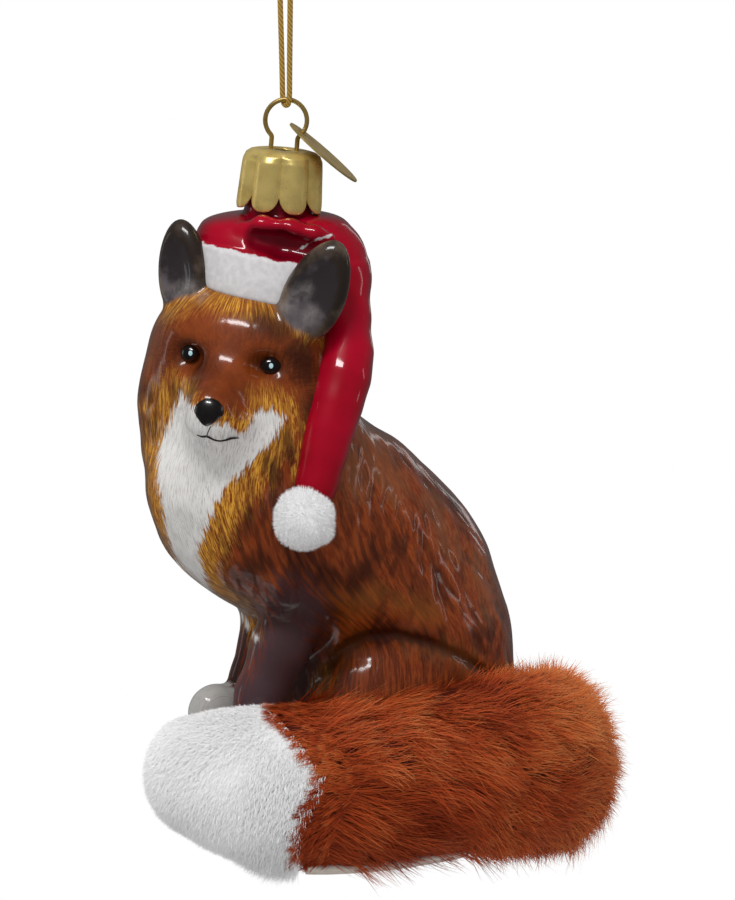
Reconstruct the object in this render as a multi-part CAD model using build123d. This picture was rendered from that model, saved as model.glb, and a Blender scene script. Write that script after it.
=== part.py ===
from build123d import *
import math
import os

os.makedirs("parts", exist_ok=True)

# Fox ornament of blown glass, hung by a thin cord. Millimetres, +Z up.
# The origin is the inside top of the cord loop, where a hook or twig carries it.
# The fox's body faces -Y, its left side is +X, and its head turns towards +X.
# Heights called "drop" are measured down from the top of the wire ring.

# Cord and its knot
cord_diameter = 0.95
loop_height = 28.0          # from the inside top of the loop to the top of the ring
loop_width = 3.6            # widest gap between the two strands, on their centres
cord_gap = 0.1              # between the cord and the ring wire it hangs on
knot_diameter = 3.2
knot_height = 2.6
knot_full_share = 1.3       # the knot's full height against the height kept above its flat
knot_tail_length = 5.0
knot_tail_spread = 24.0     # degrees, each cut end away from upright
strand_gap_at_knot = 1.3
bight_angle = 58.0          # degrees between the cord's plane and the ring's plane
bight_step = 30.0           # degrees of the turn that each half corner of the bight takes
bend_share = 0.45           # of the shorter run, taken by each bend
left_strand_shares = ((0.055, None), (0.17, 1.12), (0.42, 1.0))    # drop, then half width
right_strand_shares = ((0.42, 0.86), (0.17, 0.9), (0.055, None))   # None keeps the knot's width

# Hanger wire: a ring with two sprung legs
ring_heading = 55.0         # degrees, the ring's plane about the upright axis, from +X
wire_diameter = 0.8
ring_diameter = 7.9         # outside
leg_spacing = 4.4           # where the two legs enter the cap
leg_neck_radius = 0.8       # of the bend between ring and leg
leg_straight = 2.6          # from that bend down to where the leg splays
leg_length = 13.0           # of the splayed run inside the glass neck
leg_splay = 9.0             # degrees
leg_bend_radius = 1.5
hanger_lean = 5.0           # degrees, the cap and neck lean sideways from upright

# Ornament cap of thin fluted metal
cap_drop = 8.9              # from the top of the ring to the top of the cap
cap_height = 10.0
cap_diameter = 14.2         # across the crests of the flutes
flute_count = 8
flute_depth = 0.5
cap_wall = 0.35
cap_dome = 1.3              # height of the rounded shoulder
scallop_radius = 1.9
wire_hole_gap = 0.06

# Paper-thin metal tag on the ring
tag_diameter = 15.0
tag_thickness = 0.3
tag_hole_diameter = 1.9
tag_hole_edge = 2.65        # from the hole's centre to the tag's edge
tag_place = -41.0           # degrees round the ring, from its sideways direction

# Glass shell
glass_wall = 0.9
neck_gap = 0.3              # between the glass neck and the inside of the cap
neck_top_gap = 0.4          # between the neck's rim and the cap's roof
seat_gap = 0.6              # between the cap's skirt and the hat below it
blend_overlap = 2.0         # how far joined forms run into each other

# Torso, a loft of ellipses from the base up to the throat
body_length = 59.0
body_width = 42.6
torso_height = 64.5
torso_top_drop = 50.0
torso_shares = (            # height, forward, length and width, each as a share
    (0.000, -0.364, 0.53, 0.69),
    (0.039, -0.364, 0.66, 0.86),
    (0.101, -0.364, 0.73, 0.97),
    (0.225, -0.364, 0.75, 1.00),
    (0.333, -0.341, 0.77, 0.98),
    (0.386, -0.305, 0.80, 0.96),
    (0.456, -0.232, 0.90, 0.94),
    (0.504, -0.186, 0.96, 0.92),
    (0.574, -0.127, 1.00, 0.89),
    (0.667, -0.061, 0.97, 0.86),
    (0.764, 0.012, 0.87, 0.82),
    (0.829, 0.042, 0.77, 0.79),
    (0.891, 0.068, 0.62, 0.75),
    (1.000, 0.110, 0.42, 0.63),
)

# Haunches, forelegs and paws
haunch_length = 31.0
haunch_width = 21.6
haunch_height = 32.8
haunch_forward = -13.0
haunch_side = 12.5
haunch_sunk = 9.9           # how far its middle is above the base, where it is cut flat
foreleg_height = 34.5
foreleg_diameter = 10.0
foreleg_side = 7.0
foreleg_reach = 12.0
near_leg_shares = (         # height, forward, side and diameter, each as a share
    (1.00, 0.04, 1.14, 1.30),
    (0.83, 0.22, 1.07, 1.14),
    (0.59, 0.53, 1.00, 1.00),
    (0.36, 0.83, 0.97, 0.92),
    (0.16, 1.00, 0.97, 0.86),
)
far_leg_shares = (
    (0.94, -0.08, 0.93, 1.08),
    (0.67, 0.08, 0.86, 0.76),
    (0.36, 0.35, 0.86, 0.64),
    (0.23, 0.54, 0.86, 0.64),
)
paw_length = 10.4
paw_width = 8.0
paw_height = 9.4
near_paw_forward = 14.0
far_paw_forward = 11.3
far_paw_raise = 2.5         # the far paw is drawn up

# Head
head_yaw = 39.0             # degrees, turned towards the fox's left
head_roll = 4.0             # degrees, its left side lower
head_forward = 8.0
head_drop = 45.0
skull_width = 34.2
skull_length = 27.2
skull_height = 30.4
skull_back = 1.0
ruff_width = 35.8
ruff_length = 22.0
ruff_height = 24.0
ruff_lower = 8.5            # below the middle of the head
ruff_forward = 1.0
brow_width = 23.0
brow_depth = 13.2
brow_forward = 6.2
brow_raise = 4.5
snout_reach = 23.4          # nose tip ahead of the middle of the head
snout_length = 21.0
snout_width = 12.6
snout_height = 12.4
snout_lower = 5.4
nose_diameter = 4.6
ear_width = 10.6
ear_height = 17.8
ear_thickness = 5.4
ear_rim = 1.0               # left round the hollow of the ear
ear_scoop = 1.7             # depth of that hollow
left_ear = (13.1, 6.5, 14.8)       # left, forward and up from the middle of the head
left_ear_tilt = 20.9        # degrees outwards
left_ear_turn = 3.0         # degrees, the way it faces
right_ear = (-11.9, 3.0, 15.4)
right_ear_tilt = -5.5
right_ear_turn = -25.0

# Hat: crown, white band, and the drape that hangs to the pompom
hat_height = 17.5
hat_width = 27.6
hat_length = 25.0
hat_shares = (              # height, sideways, outwards, width and length, each as a share
    (0.000, -0.036, 0.024, 0.87, 0.93),
    (0.171, -0.045, 0.016, 0.93, 1.00),
    (0.343, -0.047, 0.002, 0.97, 1.01),
    (0.514, -0.045, -0.014, 1.00, 0.98),
    (0.686, -0.058, -0.030, 1.01, 0.91),
    (0.829, -0.076, -0.040, 0.96, 0.81),
    (0.943, -0.072, -0.030, 0.80, 0.67),
    (1.000, -0.054, -0.020, 0.58, 0.52),
)
band_height = 7.6
band_proud = 0.55
band_drop = 29.4            # its middle, at this place across the hat
band_side = -5.0
band_lean = 9.5             # degrees, lower towards the drape
drape_width = 9.4
drape_thickness = 6.4
drape_length = 40.0
drape_out = 18.5            # how far the drape's lower end stands towards the viewer
drape_shares = (            # down, sideways, outwards, width, thickness
    (0.00, 0.200, 0.00, 0.88, 1.30),
    (0.11, 0.247, 0.16, 0.84, 1.28),
    (0.26, 0.252, 0.32, 0.80, 1.25),
    (0.40, 0.257, 0.51, 0.84, 1.30),
    (0.50, 0.243, 0.66, 0.86, 1.32),
    (0.61, 0.210, 0.79, 0.81, 1.30),
    (0.71, 0.180, 0.88, 0.75, 1.20),
    (0.81, 0.155, 0.95, 0.68, 1.08),
    (0.92, 0.130, 1.00, 0.60, 0.95),
    (0.98, 0.120, 1.03, 0.52, 0.85),
)
drape_top_drop = 26.5

# Pompom glued to the end of the drape
pompom_diameter = 12.0
pompom_side = 3.2
pompom_toward = 22.4
pompom_drop = 68.6
glue_diameter = 3.4

# Plush tail curled from the rump round the fox's left side to its toes
tail_width = 25.0
tail_height = 32.0
tail_drop = 113.0
tail_radius = 31.5
tail_forward = -17.0        # the middle of the curl, ahead of the body's middle
stuffing_width = 11.0
stuffing_height = 13.0
backing_width = 12.0
backing_thickness = 0.9
backing_lower = 14.2        # the backing's top below the tail's centre line
tail_shares = (             # turn in degrees, then reach, girth and fall as shares
    (-46.0, 0.86, 0.22, 0.36),
    (-35.0, 0.90, 0.66, 0.32),
    (-14.0, 0.98, 0.98, 0.225),
    (12.0, 1.00, 1.05, 0.10),
    (38.0, 1.00, 1.03, 0.01),
    (64.0, 1.00, 1.00, 0.01),
    (88.0, 1.07, 1.00, 0.03),
    (106.0, 1.19, 0.98, 0.05),
    (119.0, 1.32, 0.94, 0.045),
    (130.0, 1.40, 0.80, 0.04),
    (138.0, 1.45, 0.54, 0.04),
    (142.0, 1.46, 0.20, 0.04),
)
seam_turn = 105.0           # where the brown fur meets the white tip
seam_reach_share = 1.18
seam_lean = 26.0            # degrees, the seam's upper half leans to the tip
seam_gap = 0.2
stuffing_end_share = 0.5    # sections slimmer than this hold no stuffing
pad_places = ((26.0, 0.06), (60.0, 0.01))    # turn in degrees and fall, where the tail is glued
pad_reach_share = 0.78
pad_diameter = 6.0

overrun = 1.0               # how far cutters pass what they cut
mid_share = 0.5

ring_top = -loop_height
wire_radius = wire_diameter / 2
cord_radius = cord_diameter / 2
ring_radius = ring_diameter / 2 - wire_radius
ring_centre = ring_top - ring_diameter / 2
torso_base = ring_top - torso_top_drop - torso_height


def fox_point(forward, left, height):
    """A place given as the fox's own forward and left."""
    return Vector(left, -forward, height)


def ring_point(side, toward, height):
    """A place given along the ring's plane and square out of it."""
    turn = math.radians(ring_heading)
    return Vector(
        side * math.cos(turn) + toward * math.sin(turn),
        side * math.sin(turn) - toward * math.cos(turn),
        height,
    )


ring_side = ring_point(1, 0, 0)
ring_out = ring_point(0, 1, 0)
ring_plane = Plane(origin=Vector(0, 0, ring_centre), x_dir=ring_side, z_dir=ring_out)
hanger_place = ring_plane.location * Rotation(0, 0, -hanger_lean)
# In the hanger's own frame Y runs up the cap's axis, and this turns +Z onto it.
up_the_cap = Rotation(-90, 0, 0)


def ellipsoid(centre, width, length, height, turn=Rotation(0, 0, 0)):
    form = scale(Sphere(1), by=(width / 2, length / 2, height / 2))
    return Location(centre) * turn * form


def ellipse_at(centre, width, length, turn=0.0):
    place = Location(centre) * Rotation(0, 0, turn)
    return place * Ellipse(width / 2, length / 2)


def joined(forms):
    whole = forms[0]
    for form in forms[1:]:
        whole = whole + form
    return whole


def largest(shape):
    return max(shape.solids(), key=lambda solid: solid.volume)


# Wire ring and legs, drawn in the hanger's frame about the ring's centre
def make_hanger_wire():
    half = leg_spacing / 2
    pinch_x = half + leg_neck_radius
    pinch_y = math.sqrt((ring_radius + leg_neck_radius) ** 2 - pinch_x ** 2)
    pinch = math.degrees(math.atan2(pinch_y, pinch_x))
    ring = CenterArc((0, 0), ring_radius, -pinch, 180 + 2 * pinch)
    edges = [ring]
    for hand in (1, -1):
        start = 180 - pinch if hand > 0 else 0
        edges.append(CenterArc((hand * pinch_x, -pinch_y), leg_neck_radius, start, pinch))
        straight = Line((hand * half, -pinch_y), (hand * half, -pinch_y - leg_straight))
        bend = JernArc(straight @ 1, (0, -1), leg_bend_radius, hand * leg_splay)
        run = bend % 1
        edges += [straight, bend, Line(bend @ 1, (bend @ 1) + run * leg_length)]
    path = Wire(edges)
    first = path @ 0
    section = Plane(origin=first, z_dir=path % 0) * Circle(wire_radius)
    return hanger_place * sweep(section, path=path)


# Fluted cap with a rounded roof and a scalloped skirt
def flute_outline(crest_radius, groove_radius):
    step = 360 / flute_count
    arcs = []
    for index in range(flute_count):
        corners = []
        for turn, radius in ((0, groove_radius), (step / 2, crest_radius), (step, groove_radius)):
            angle = math.radians(index * step + turn)
            corners.append((radius * math.cos(angle), radius * math.sin(angle)))
        arcs.append(ThreePointArc(*corners))
    return make_face(Wire(arcs))


def cap_body(inset, height):
    crest = cap_diameter / 2 - inset
    sides = extrude(flute_outline(crest, crest - flute_depth), height)
    roof = Cylinder(crest, height, align=(Align.CENTER, Align.CENTER, Align.MIN))
    rim = roof.edges().filter_by(GeomType.CIRCLE).sort_by(Axis.Z)[-1]
    return sides & fillet(rim, cap_dome)


def make_cap():
    outer = cap_body(0, cap_height)
    inner = cap_body(cap_wall, cap_height - cap_wall + overrun)
    cap = outer - Location((0, 0, -overrun)) * inner
    step = 360 / flute_count
    for index in range(flute_count):
        cutter = Cylinder(scallop_radius, cap_diameter, rotation=(0, 90, 0))
        cutter = Location((cap_diameter / 2 + scallop_radius, 0, 0)) * cutter
        cap -= Rotation(0, 0, index * step) * cutter
    low = cap_drop + cap_height - ring_diameter / 2
    cap = Location((0, -low, 0)) * up_the_cap * cap
    for hand in (1, -1):
        hole = Cylinder(wire_radius + wire_hole_gap, cap_height, rotation=(90, 0, 0))
        cap -= Location((hand * leg_spacing / 2, -(low - cap_height), 0)) * hole
    return hanger_place * cap


# Round tag, threaded on the ring by its hole and hanging outwards
def make_tag():
    turn = math.radians(tag_place)
    disc = Circle(tag_diameter / 2)
    hole_offset = tag_diameter / 2 - tag_hole_edge
    disc -= Location((-hole_offset, 0)) * Circle(tag_hole_diameter / 2)
    disc = Location((hole_offset, 0, -tag_thickness / 2)) * extrude(disc, tag_thickness)
    radial = Vector(math.cos(turn), math.sin(turn), 0)
    along_wire = Vector(-math.sin(turn), math.cos(turn), 0)
    place = Plane(origin=radial * ring_radius, x_dir=radial, z_dir=along_wire)
    return ring_plane.location * place.location * disc


# Cord loop: up one strand's run from the knot, round the ring wire, and back
def cord_route():
    """Corners of the route in the cord's own plane, sideways and up."""
    turn = math.radians(bight_angle)
    step = math.radians(bight_step)
    clear = wire_radius + cord_radius + cord_gap
    round_wire = clear / math.sin(turn)
    bight_centre = ring_top - wire_radius - clear + round_wire
    low = bight_centre - round_wire * math.tan(step)
    middle = bight_centre - round_wire / math.cos(step)
    knot_half = strand_gap_at_knot / 2

    def strand(hand, shares):
        corners = []
        for drop, width in shares:
            half = knot_half if width is None else width * loop_width / 2
            corners.append((hand * half, -drop * loop_height))
        return corners

    return [
        (-knot_half, 0),
        *strand(-1, left_strand_shares),
        (-round_wire, low),
        (0, middle),
        (round_wire, low),
        *strand(1, right_strand_shares),
        (knot_half, 0),
    ]


def make_cord():
    turn = math.radians(bight_angle)
    points = [ring_point(across * math.cos(turn), across * math.sin(turn), height)
              for across, height in cord_route()]
    radii = []
    for before, here, after in zip(points, points[1:], points[2:]):
        shorter = min((here - before).length, (after - here).length)
        angle = (here - before).get_angle(after - here)
        radii.append(bend_share * shorter / math.tan(math.radians(angle) / 2))
    print("cord bend radii", [round(radius, 2) for radius in radii])
    path = FilletPolyline(*points, radius=radii)
    section = Plane(origin=points[0], z_dir=path % 0) * Circle(cord_radius)
    cord = sweep(section, path=path)
    print("cord length", round(path.length, 2), "volume", round(cord.volume, 3),
          "section times length", round(math.pi * cord_radius ** 2 * path.length, 3))
    print("cord route", [tuple(round(value, 3) for value in point) for point in points])
    return cord


def make_knot():
    ball = ellipsoid((0, 0, knot_height / 2), knot_diameter, knot_diameter,
                     knot_height * knot_full_share)
    below = Box(knot_diameter * 2, knot_diameter * 2, knot_height,
                align=(Align.CENTER, Align.CENTER, Align.MAX))
    ball -= below
    for hand in (1, -1):
        tail = Cylinder(cord_radius, knot_tail_length, align=(Align.CENTER, Align.CENTER, Align.MIN))
        ball += Location((0, 0, knot_height / 2)) * Rotation(0, hand * knot_tail_spread, 0) * tail
    return Rotation(0, 0, ring_heading) * ball


# Forms of the glass fox. A positive inset gives the hollow inside the wall.
def torso(inset=0.0):
    sections = []
    for height, forward, length, width in torso_shares:
        centre = fox_point(forward * body_length, 0, torso_base + inset
                           + height * (torso_height - 2 * inset))
        sections.append(ellipse_at(centre, width * body_width - 2 * inset,
                                   length * body_length - 2 * inset))
    return loft(sections)


head_turn = Rotation(0, 0, head_yaw) * Rotation(0, head_roll, 0)
head_centre = fox_point(head_forward, 0, ring_top - head_drop)


def head_place(left, forward, up):
    """A place on the head, from the middle of the skull."""
    return Location(head_centre) * head_turn * Location((left, -forward, up))


def skull(inset=0.0):
    return head_place(0, -skull_back, 0) * ellipsoid(
        (0, 0, 0), skull_width - 2 * inset, skull_length - 2 * inset, skull_height - 2 * inset)


def ruff(inset=0.0):
    return head_place(0, ruff_forward, -ruff_lower) * ellipsoid(
        (0, 0, 0), ruff_width - 2 * inset, ruff_length - 2 * inset, ruff_height - 2 * inset)


def brow():
    return head_place(0, brow_forward, brow_raise) * ellipsoid((0, 0, 0), brow_width, brow_depth, brow_depth)


def snout():
    centre = snout_reach - nose_diameter / 2 - snout_length / 2
    muzzle = head_place(0, centre, -snout_lower) * ellipsoid(
        (0, 0, 0), snout_width, snout_length, snout_height)
    nose = head_place(0, snout_reach - nose_diameter / 2, -snout_lower + nose_diameter / 4)
    return muzzle + nose * Sphere(nose_diameter / 2)


def ear(place, tilt, turn):
    """A leaf with a hollow in its front."""
    leaf = ellipsoid((0, 0, 0), ear_width, ear_thickness, ear_height)
    scoop = ellipsoid((0, -ear_thickness / 2, 0), ear_width - 2 * ear_rim, 2 * ear_scoop,
                      ear_height - 2 * ear_rim)
    return head_place(*place) * Rotation(0, tilt, 0) * Rotation(0, 0, turn) * (leaf - scoop)


def haunch(hand, inset=0.0):
    centre = fox_point(haunch_forward, hand * haunch_side, torso_base + haunch_sunk)
    form = ellipsoid(centre, haunch_width - 2 * inset, haunch_length - 2 * inset, haunch_height - 2 * inset)
    room = Box(body_length * 2, body_length * 2, haunch_height, align=(Align.CENTER, Align.CENTER, Align.MIN))
    return form & Location((0, 0, torso_base + inset)) * room


def foreleg(hand, shares, paw_forward, paw_raise):
    sections = []
    for height, forward, side, girth in shares:
        centre = fox_point(forward * foreleg_reach, hand * side * foreleg_side,
                           torso_base + height * foreleg_height)
        sections.append(ellipse_at(centre, girth * foreleg_diameter, girth * foreleg_diameter))
    paw_centre = fox_point(paw_forward, hand * foreleg_side * shares[-1][2],
                           torso_base + paw_height / 2 + paw_raise)
    return loft(sections[::-1]) + ellipsoid(paw_centre, paw_width, paw_length, paw_height)


hat_bottom = ring_top - cap_drop - cap_height - seat_gap - hat_height


def hat_crown(inset=0.0):
    sections = []
    for height, side, out, width, length in hat_shares:
        centre = ring_point(side * hat_width, out * hat_length,
                            hat_bottom + inset + height * (hat_height - 2 * inset))
        sections.append(ellipse_at(centre, width * hat_width - 2 * inset,
                                   length * hat_length - 2 * inset, ring_heading))
    return loft(sections)


def hat_band():
    centre = ring_point(band_side, 0, ring_top - band_drop)
    slab = Location(centre) * Rotation(0, 0, ring_heading) * Rotation(0, band_lean, 0)
    return hat_crown(-band_proud) & slab * Box(hat_width * 2, hat_length * 2, band_height)


def hat_drape():
    sections = []
    for down, side, out, width, thickness in drape_shares:
        centre = ring_point(side * drape_length, out * drape_out,
                            ring_top - drape_top_drop - down * drape_length)
        sections.append(ellipse_at(centre, width * drape_width, thickness * drape_thickness, ring_heading))
    return loft(sections[::-1])


def cap_frame_tube(radius, top, bottom):
    """A rod on the cap's axis, between two drops below the top of the ring."""
    middle = ring_diameter / 2 - (top + bottom) / 2
    rod = Cylinder(radius, bottom - top, rotation=(90, 0, 0))
    return hanger_place * Location((0, middle, 0)) * rod


neck_radius = cap_diameter / 2 - flute_depth - cap_wall - neck_gap
neck_bore_radius = neck_radius - glass_wall
neck_top_drop = cap_drop + cap_wall + neck_top_gap
neck_bottom_drop = cap_drop + cap_height + seat_gap + blend_overlap * 2


def make_glass():
    outside = joined([
        torso(), haunch(1), haunch(-1), foreleg(1, near_leg_shares, near_paw_forward, 0),
        foreleg(-1, far_leg_shares, far_paw_forward, far_paw_raise), ruff(), skull(), brow(), snout(),
        ear(left_ear, left_ear_tilt, left_ear_turn), ear(right_ear, right_ear_tilt, right_ear_turn),
        hat_crown(), hat_band(), hat_drape(),
        cap_frame_tube(neck_radius, neck_top_drop, neck_bottom_drop),
    ])
    hollow = joined([
        torso(glass_wall), haunch(1, glass_wall), haunch(-1, glass_wall),
        ruff(glass_wall), skull(glass_wall), hat_crown(glass_wall),
        cap_frame_tube(neck_bore_radius, neck_top_drop - overrun, neck_bottom_drop),
    ])
    return largest(outside - hollow)


# Pompom and the drop of glue that holds it
pompom_centre = ring_point(pompom_side, pompom_toward, ring_top - pompom_drop)


def make_pompom(glass):
    return largest(Location(pompom_centre) * Sphere(pompom_diameter / 2) - glass)


def make_pompom_glue(glass, pompom):
    inward = ring_point(0, -pompom_diameter, 0)
    middle = pompom_centre + inward * mid_share
    place = Plane(origin=middle, z_dir=inward)
    rod = place * Cylinder(glue_diameter / 2, pompom_diameter)
    return largest(rod - glass - pompom)


# Tail
tail_centre = fox_point(tail_forward, 0, ring_top - tail_drop)


def tail_point(turn, reach_share, fall_share):
    angle = math.radians(turn)
    reach = tail_radius * reach_share
    return tail_centre + ring_point(reach * math.cos(angle), reach * math.sin(angle),
                                    -fall_share * tail_height)


def tail_loft(width, height, thinnest=0.0):
    """A rounded sausage along the tail, of the sections thicker than a share."""
    rows = [row for row in tail_shares if row[2] > thinnest]
    points = [tail_point(turn, reach, fall) for turn, reach, _, fall in rows]
    sections = []
    for index, (_, _, girth, _) in enumerate(rows):
        ahead = points[min(index + 1, len(points) - 1)]
        behind = points[max(index - 1, 0)]
        along = Vector(ahead.X - behind.X, ahead.Y - behind.Y, 0)
        across = along.cross(Vector(0, 0, 1))
        place = Plane(origin=points[index], x_dir=across, z_dir=along)
        sections.append(place * Ellipse(width * girth / 2, height * girth / 2))
    return loft(sections)


def tip_space(gap):
    """The space on the tip's side of the seam, whose upper half leans over."""
    angle = math.radians(seam_turn)
    lean = math.radians(seam_lean)
    along = ring_point(-math.sin(angle), math.cos(angle), 0)
    leaned = along * math.cos(lean) - Vector(0, 0, math.sin(lean))
    start = tail_point(seam_turn, seam_reach_share, 0)
    reach = body_length * 2
    block = Box(reach, reach, reach, align=(Align.CENTER, Align.CENTER, Align.MIN))
    upright, over = (Plane(origin=start + way * gap, z_dir=way).location * block for way in (along, leaned))
    return upright & over


def make_stuffing():
    return tail_loft(stuffing_width, stuffing_height, stuffing_end_share)


def make_backing(stuffing):
    strip = tail_loft(backing_width, tail_height, stuffing_end_share) - tip_space(-seam_gap / 2)
    level = tail_centre.Z - backing_lower
    reach = body_length * 2
    slab = Box(reach, reach, backing_thickness, align=(Align.CENTER, Align.CENTER, Align.MAX))
    return largest((strip & Location((tail_centre.X, tail_centre.Y, level)) * slab) - stuffing)


def make_glue_pads(glass, stuffing):
    pads = []
    for turn, fall in pad_places:
        middle = tail_point(turn, pad_reach_share, fall)
        rod = Cylinder(pad_diameter / 2, tail_width / 2)
        place = Plane(origin=middle, z_dir=middle - Vector(tail_centre.X, tail_centre.Y, middle.Z))
        pads.append(largest(place.location * rod - glass - stuffing))
    return Compound(pads)


def make_furs(glass, others):
    whole = tail_loft(tail_width, tail_height) - glass
    for other in others:
        whole = whole - other
    return [largest(whole - tip_space(-seam_gap / 2)), largest(whole & tip_space(seam_gap / 2))]


nodes = {
    "hanger_wire": make_hanger_wire(),
    "ornament_cap": make_cap(),
    "hang_tag": make_tag(),
    "hanging_cord": make_cord(),
    "cord_knot": make_knot(),
}
glass_figure = make_glass()
nodes["glass_figure"] = glass_figure
nodes["hat_pompom"] = make_pompom(glass_figure)
nodes["pompom_glue"] = make_pompom_glue(glass_figure, nodes["hat_pompom"])
nodes["tail_stuffing"] = make_stuffing()
nodes["tail_backing"] = make_backing(nodes["tail_stuffing"])
nodes["tail_glue"] = make_glue_pads(glass_figure, nodes["tail_stuffing"])
inside_the_fur = [nodes[name] for name in ("tail_stuffing", "tail_backing", "tail_glue")]
nodes["tail_fur"], nodes["tail_tip_fur"] = make_furs(glass_figure, inside_the_fur)

for name, shape in nodes.items():
    export_step(shape, f"parts/{name}.step")
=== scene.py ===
import math

import bpy
import numpy as np
import openvdb
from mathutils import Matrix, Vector, kdtree


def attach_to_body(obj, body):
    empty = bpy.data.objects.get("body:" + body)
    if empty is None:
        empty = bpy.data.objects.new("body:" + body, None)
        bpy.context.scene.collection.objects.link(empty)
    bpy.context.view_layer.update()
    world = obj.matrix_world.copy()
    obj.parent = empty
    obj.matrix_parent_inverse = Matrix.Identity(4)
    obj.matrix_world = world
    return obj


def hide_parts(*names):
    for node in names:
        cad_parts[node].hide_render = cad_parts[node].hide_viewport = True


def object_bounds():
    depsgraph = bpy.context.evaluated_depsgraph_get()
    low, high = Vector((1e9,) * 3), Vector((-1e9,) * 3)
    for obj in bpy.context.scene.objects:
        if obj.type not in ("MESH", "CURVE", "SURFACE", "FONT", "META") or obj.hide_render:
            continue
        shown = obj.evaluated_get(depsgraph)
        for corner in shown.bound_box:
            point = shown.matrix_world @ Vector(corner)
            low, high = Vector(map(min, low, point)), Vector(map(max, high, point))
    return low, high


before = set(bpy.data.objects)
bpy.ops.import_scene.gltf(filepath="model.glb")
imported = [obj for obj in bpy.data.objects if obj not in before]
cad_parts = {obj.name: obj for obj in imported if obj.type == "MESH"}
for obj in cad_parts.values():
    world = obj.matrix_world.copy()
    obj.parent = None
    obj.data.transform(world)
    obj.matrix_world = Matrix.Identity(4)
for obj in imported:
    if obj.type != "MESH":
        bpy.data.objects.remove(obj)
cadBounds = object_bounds()

# The sculpting below works in millimetres, with heights measured from the top of the wire ring
mm = 0.001
ringTop = -28.0 * mm
sides = ("left", "right")
hands = (1, -1)

photo = {
    "azimuth": 55.0, "elevation": 11.0, "width": 735, "height": 900,
    "ringPixel": (286.0, 97.0),       # where the top of the ring lies in the picture
    "millimetresPerPixel": 0.17, "distance": 620.0,
}


def unit(vector):
    vector = np.asarray(vector, dtype=float)
    return vector / np.linalg.norm(vector)


def unitRows(vectors):
    return vectors / (np.linalg.norm(vectors, axis=1)[:, None] + 1e-9)


def inSurface(vectors, normals):
    return vectors - normals * np.sum(vectors * normals, axis=1)[:, None]


def swing(vectors, toward, angles):
    return vectors * np.cos(angles)[:, None] + toward * np.sin(angles)[:, None]


def ramp(values, start, end):
    return np.clip((values - start) / (end - start), 0, 1)


azimuth, elevation = math.radians(photo["azimuth"]), math.radians(photo["elevation"])
towardViewer = np.array([math.sin(azimuth), -math.cos(azimuth), 0.0])
acrossPhoto = np.array([math.cos(azimuth), math.sin(azimuth), 0.0])
upward = np.array([0.0, 0.0, 1.0])
viewAxis = towardViewer * math.cos(elevation) + upward * math.sin(elevation)
photoUp = np.cross(viewAxis, acrossPhoto)


def atRing(side, toward, drop):
    return acrossPhoto * side + towardViewer * toward - upward * drop


def atFox(forward, left, drop):
    return np.array([left, -forward, -drop], dtype=float)


def lookPoint():
    right = (photo["width"] / 2 - photo["ringPixel"][0]) * photo["millimetresPerPixel"]
    down = (photo["height"] / 2 - photo["ringPixel"][1]) * photo["millimetresPerPixel"]
    return acrossPhoto * right - photoUp * down


eyePoint = lookPoint() + viewAxis * photo["distance"]


def inPhoto(points):
    # Where points of the model, in millimetres, fall in the photograph's pixels
    away = np.asarray(points) - eyePoint
    depth = -(away @ viewAxis)
    scale = photo["distance"] / depth / photo["millimetresPerPixel"]
    return np.stack([photo["width"] / 2 + (away @ acrossPhoto) * scale,
                     photo["height"] / 2 - (away @ photoUp) * scale], axis=-1)


def inMetres(points):
    return np.asarray(points, dtype=float) * mm + upward * ringTop


def newObject(name, data):
    item = bpy.data.objects.new(name, data)
    bpy.context.scene.collection.objects.link(item)
    return item


# Camera and cord

def makeCamera():
    data = bpy.data.cameras.new("photoCamera")
    data.sensor_fit = "VERTICAL"
    data.sensor_height = 24.0
    data.lens = data.sensor_height * photo["distance"] / (photo["height"] * photo["millimetresPerPixel"])
    data.clip_start = 0.01
    camera = newObject("photoCamera", data)
    camera.location = inMetres(eyePoint)
    camera.rotation_euler = Vector(viewAxis).to_track_quat("Z", "Y").to_euler()
    bpy.context.scene.camera = camera


makeCamera()

cordShape = {
    "diameter": 0.95, "length": 0.0605, "bightAngle": 58.0,
    # Across the cord's own plane and up from the hanging point, in millimetres
    "route": [(-0.65, 0.0), (-0.65, -1.54), (-2.016, -4.76), (-1.8, -11.76), (-1.21, -24.0), (-1.15, -28.89),
              (0.0, -29.55), (1.15, -28.89), (1.2, -24.0), (1.548, -11.76), (1.62, -4.76), (0.65, -1.54),
              (0.65, 0.0)],
}


# Nodes and materials

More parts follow.
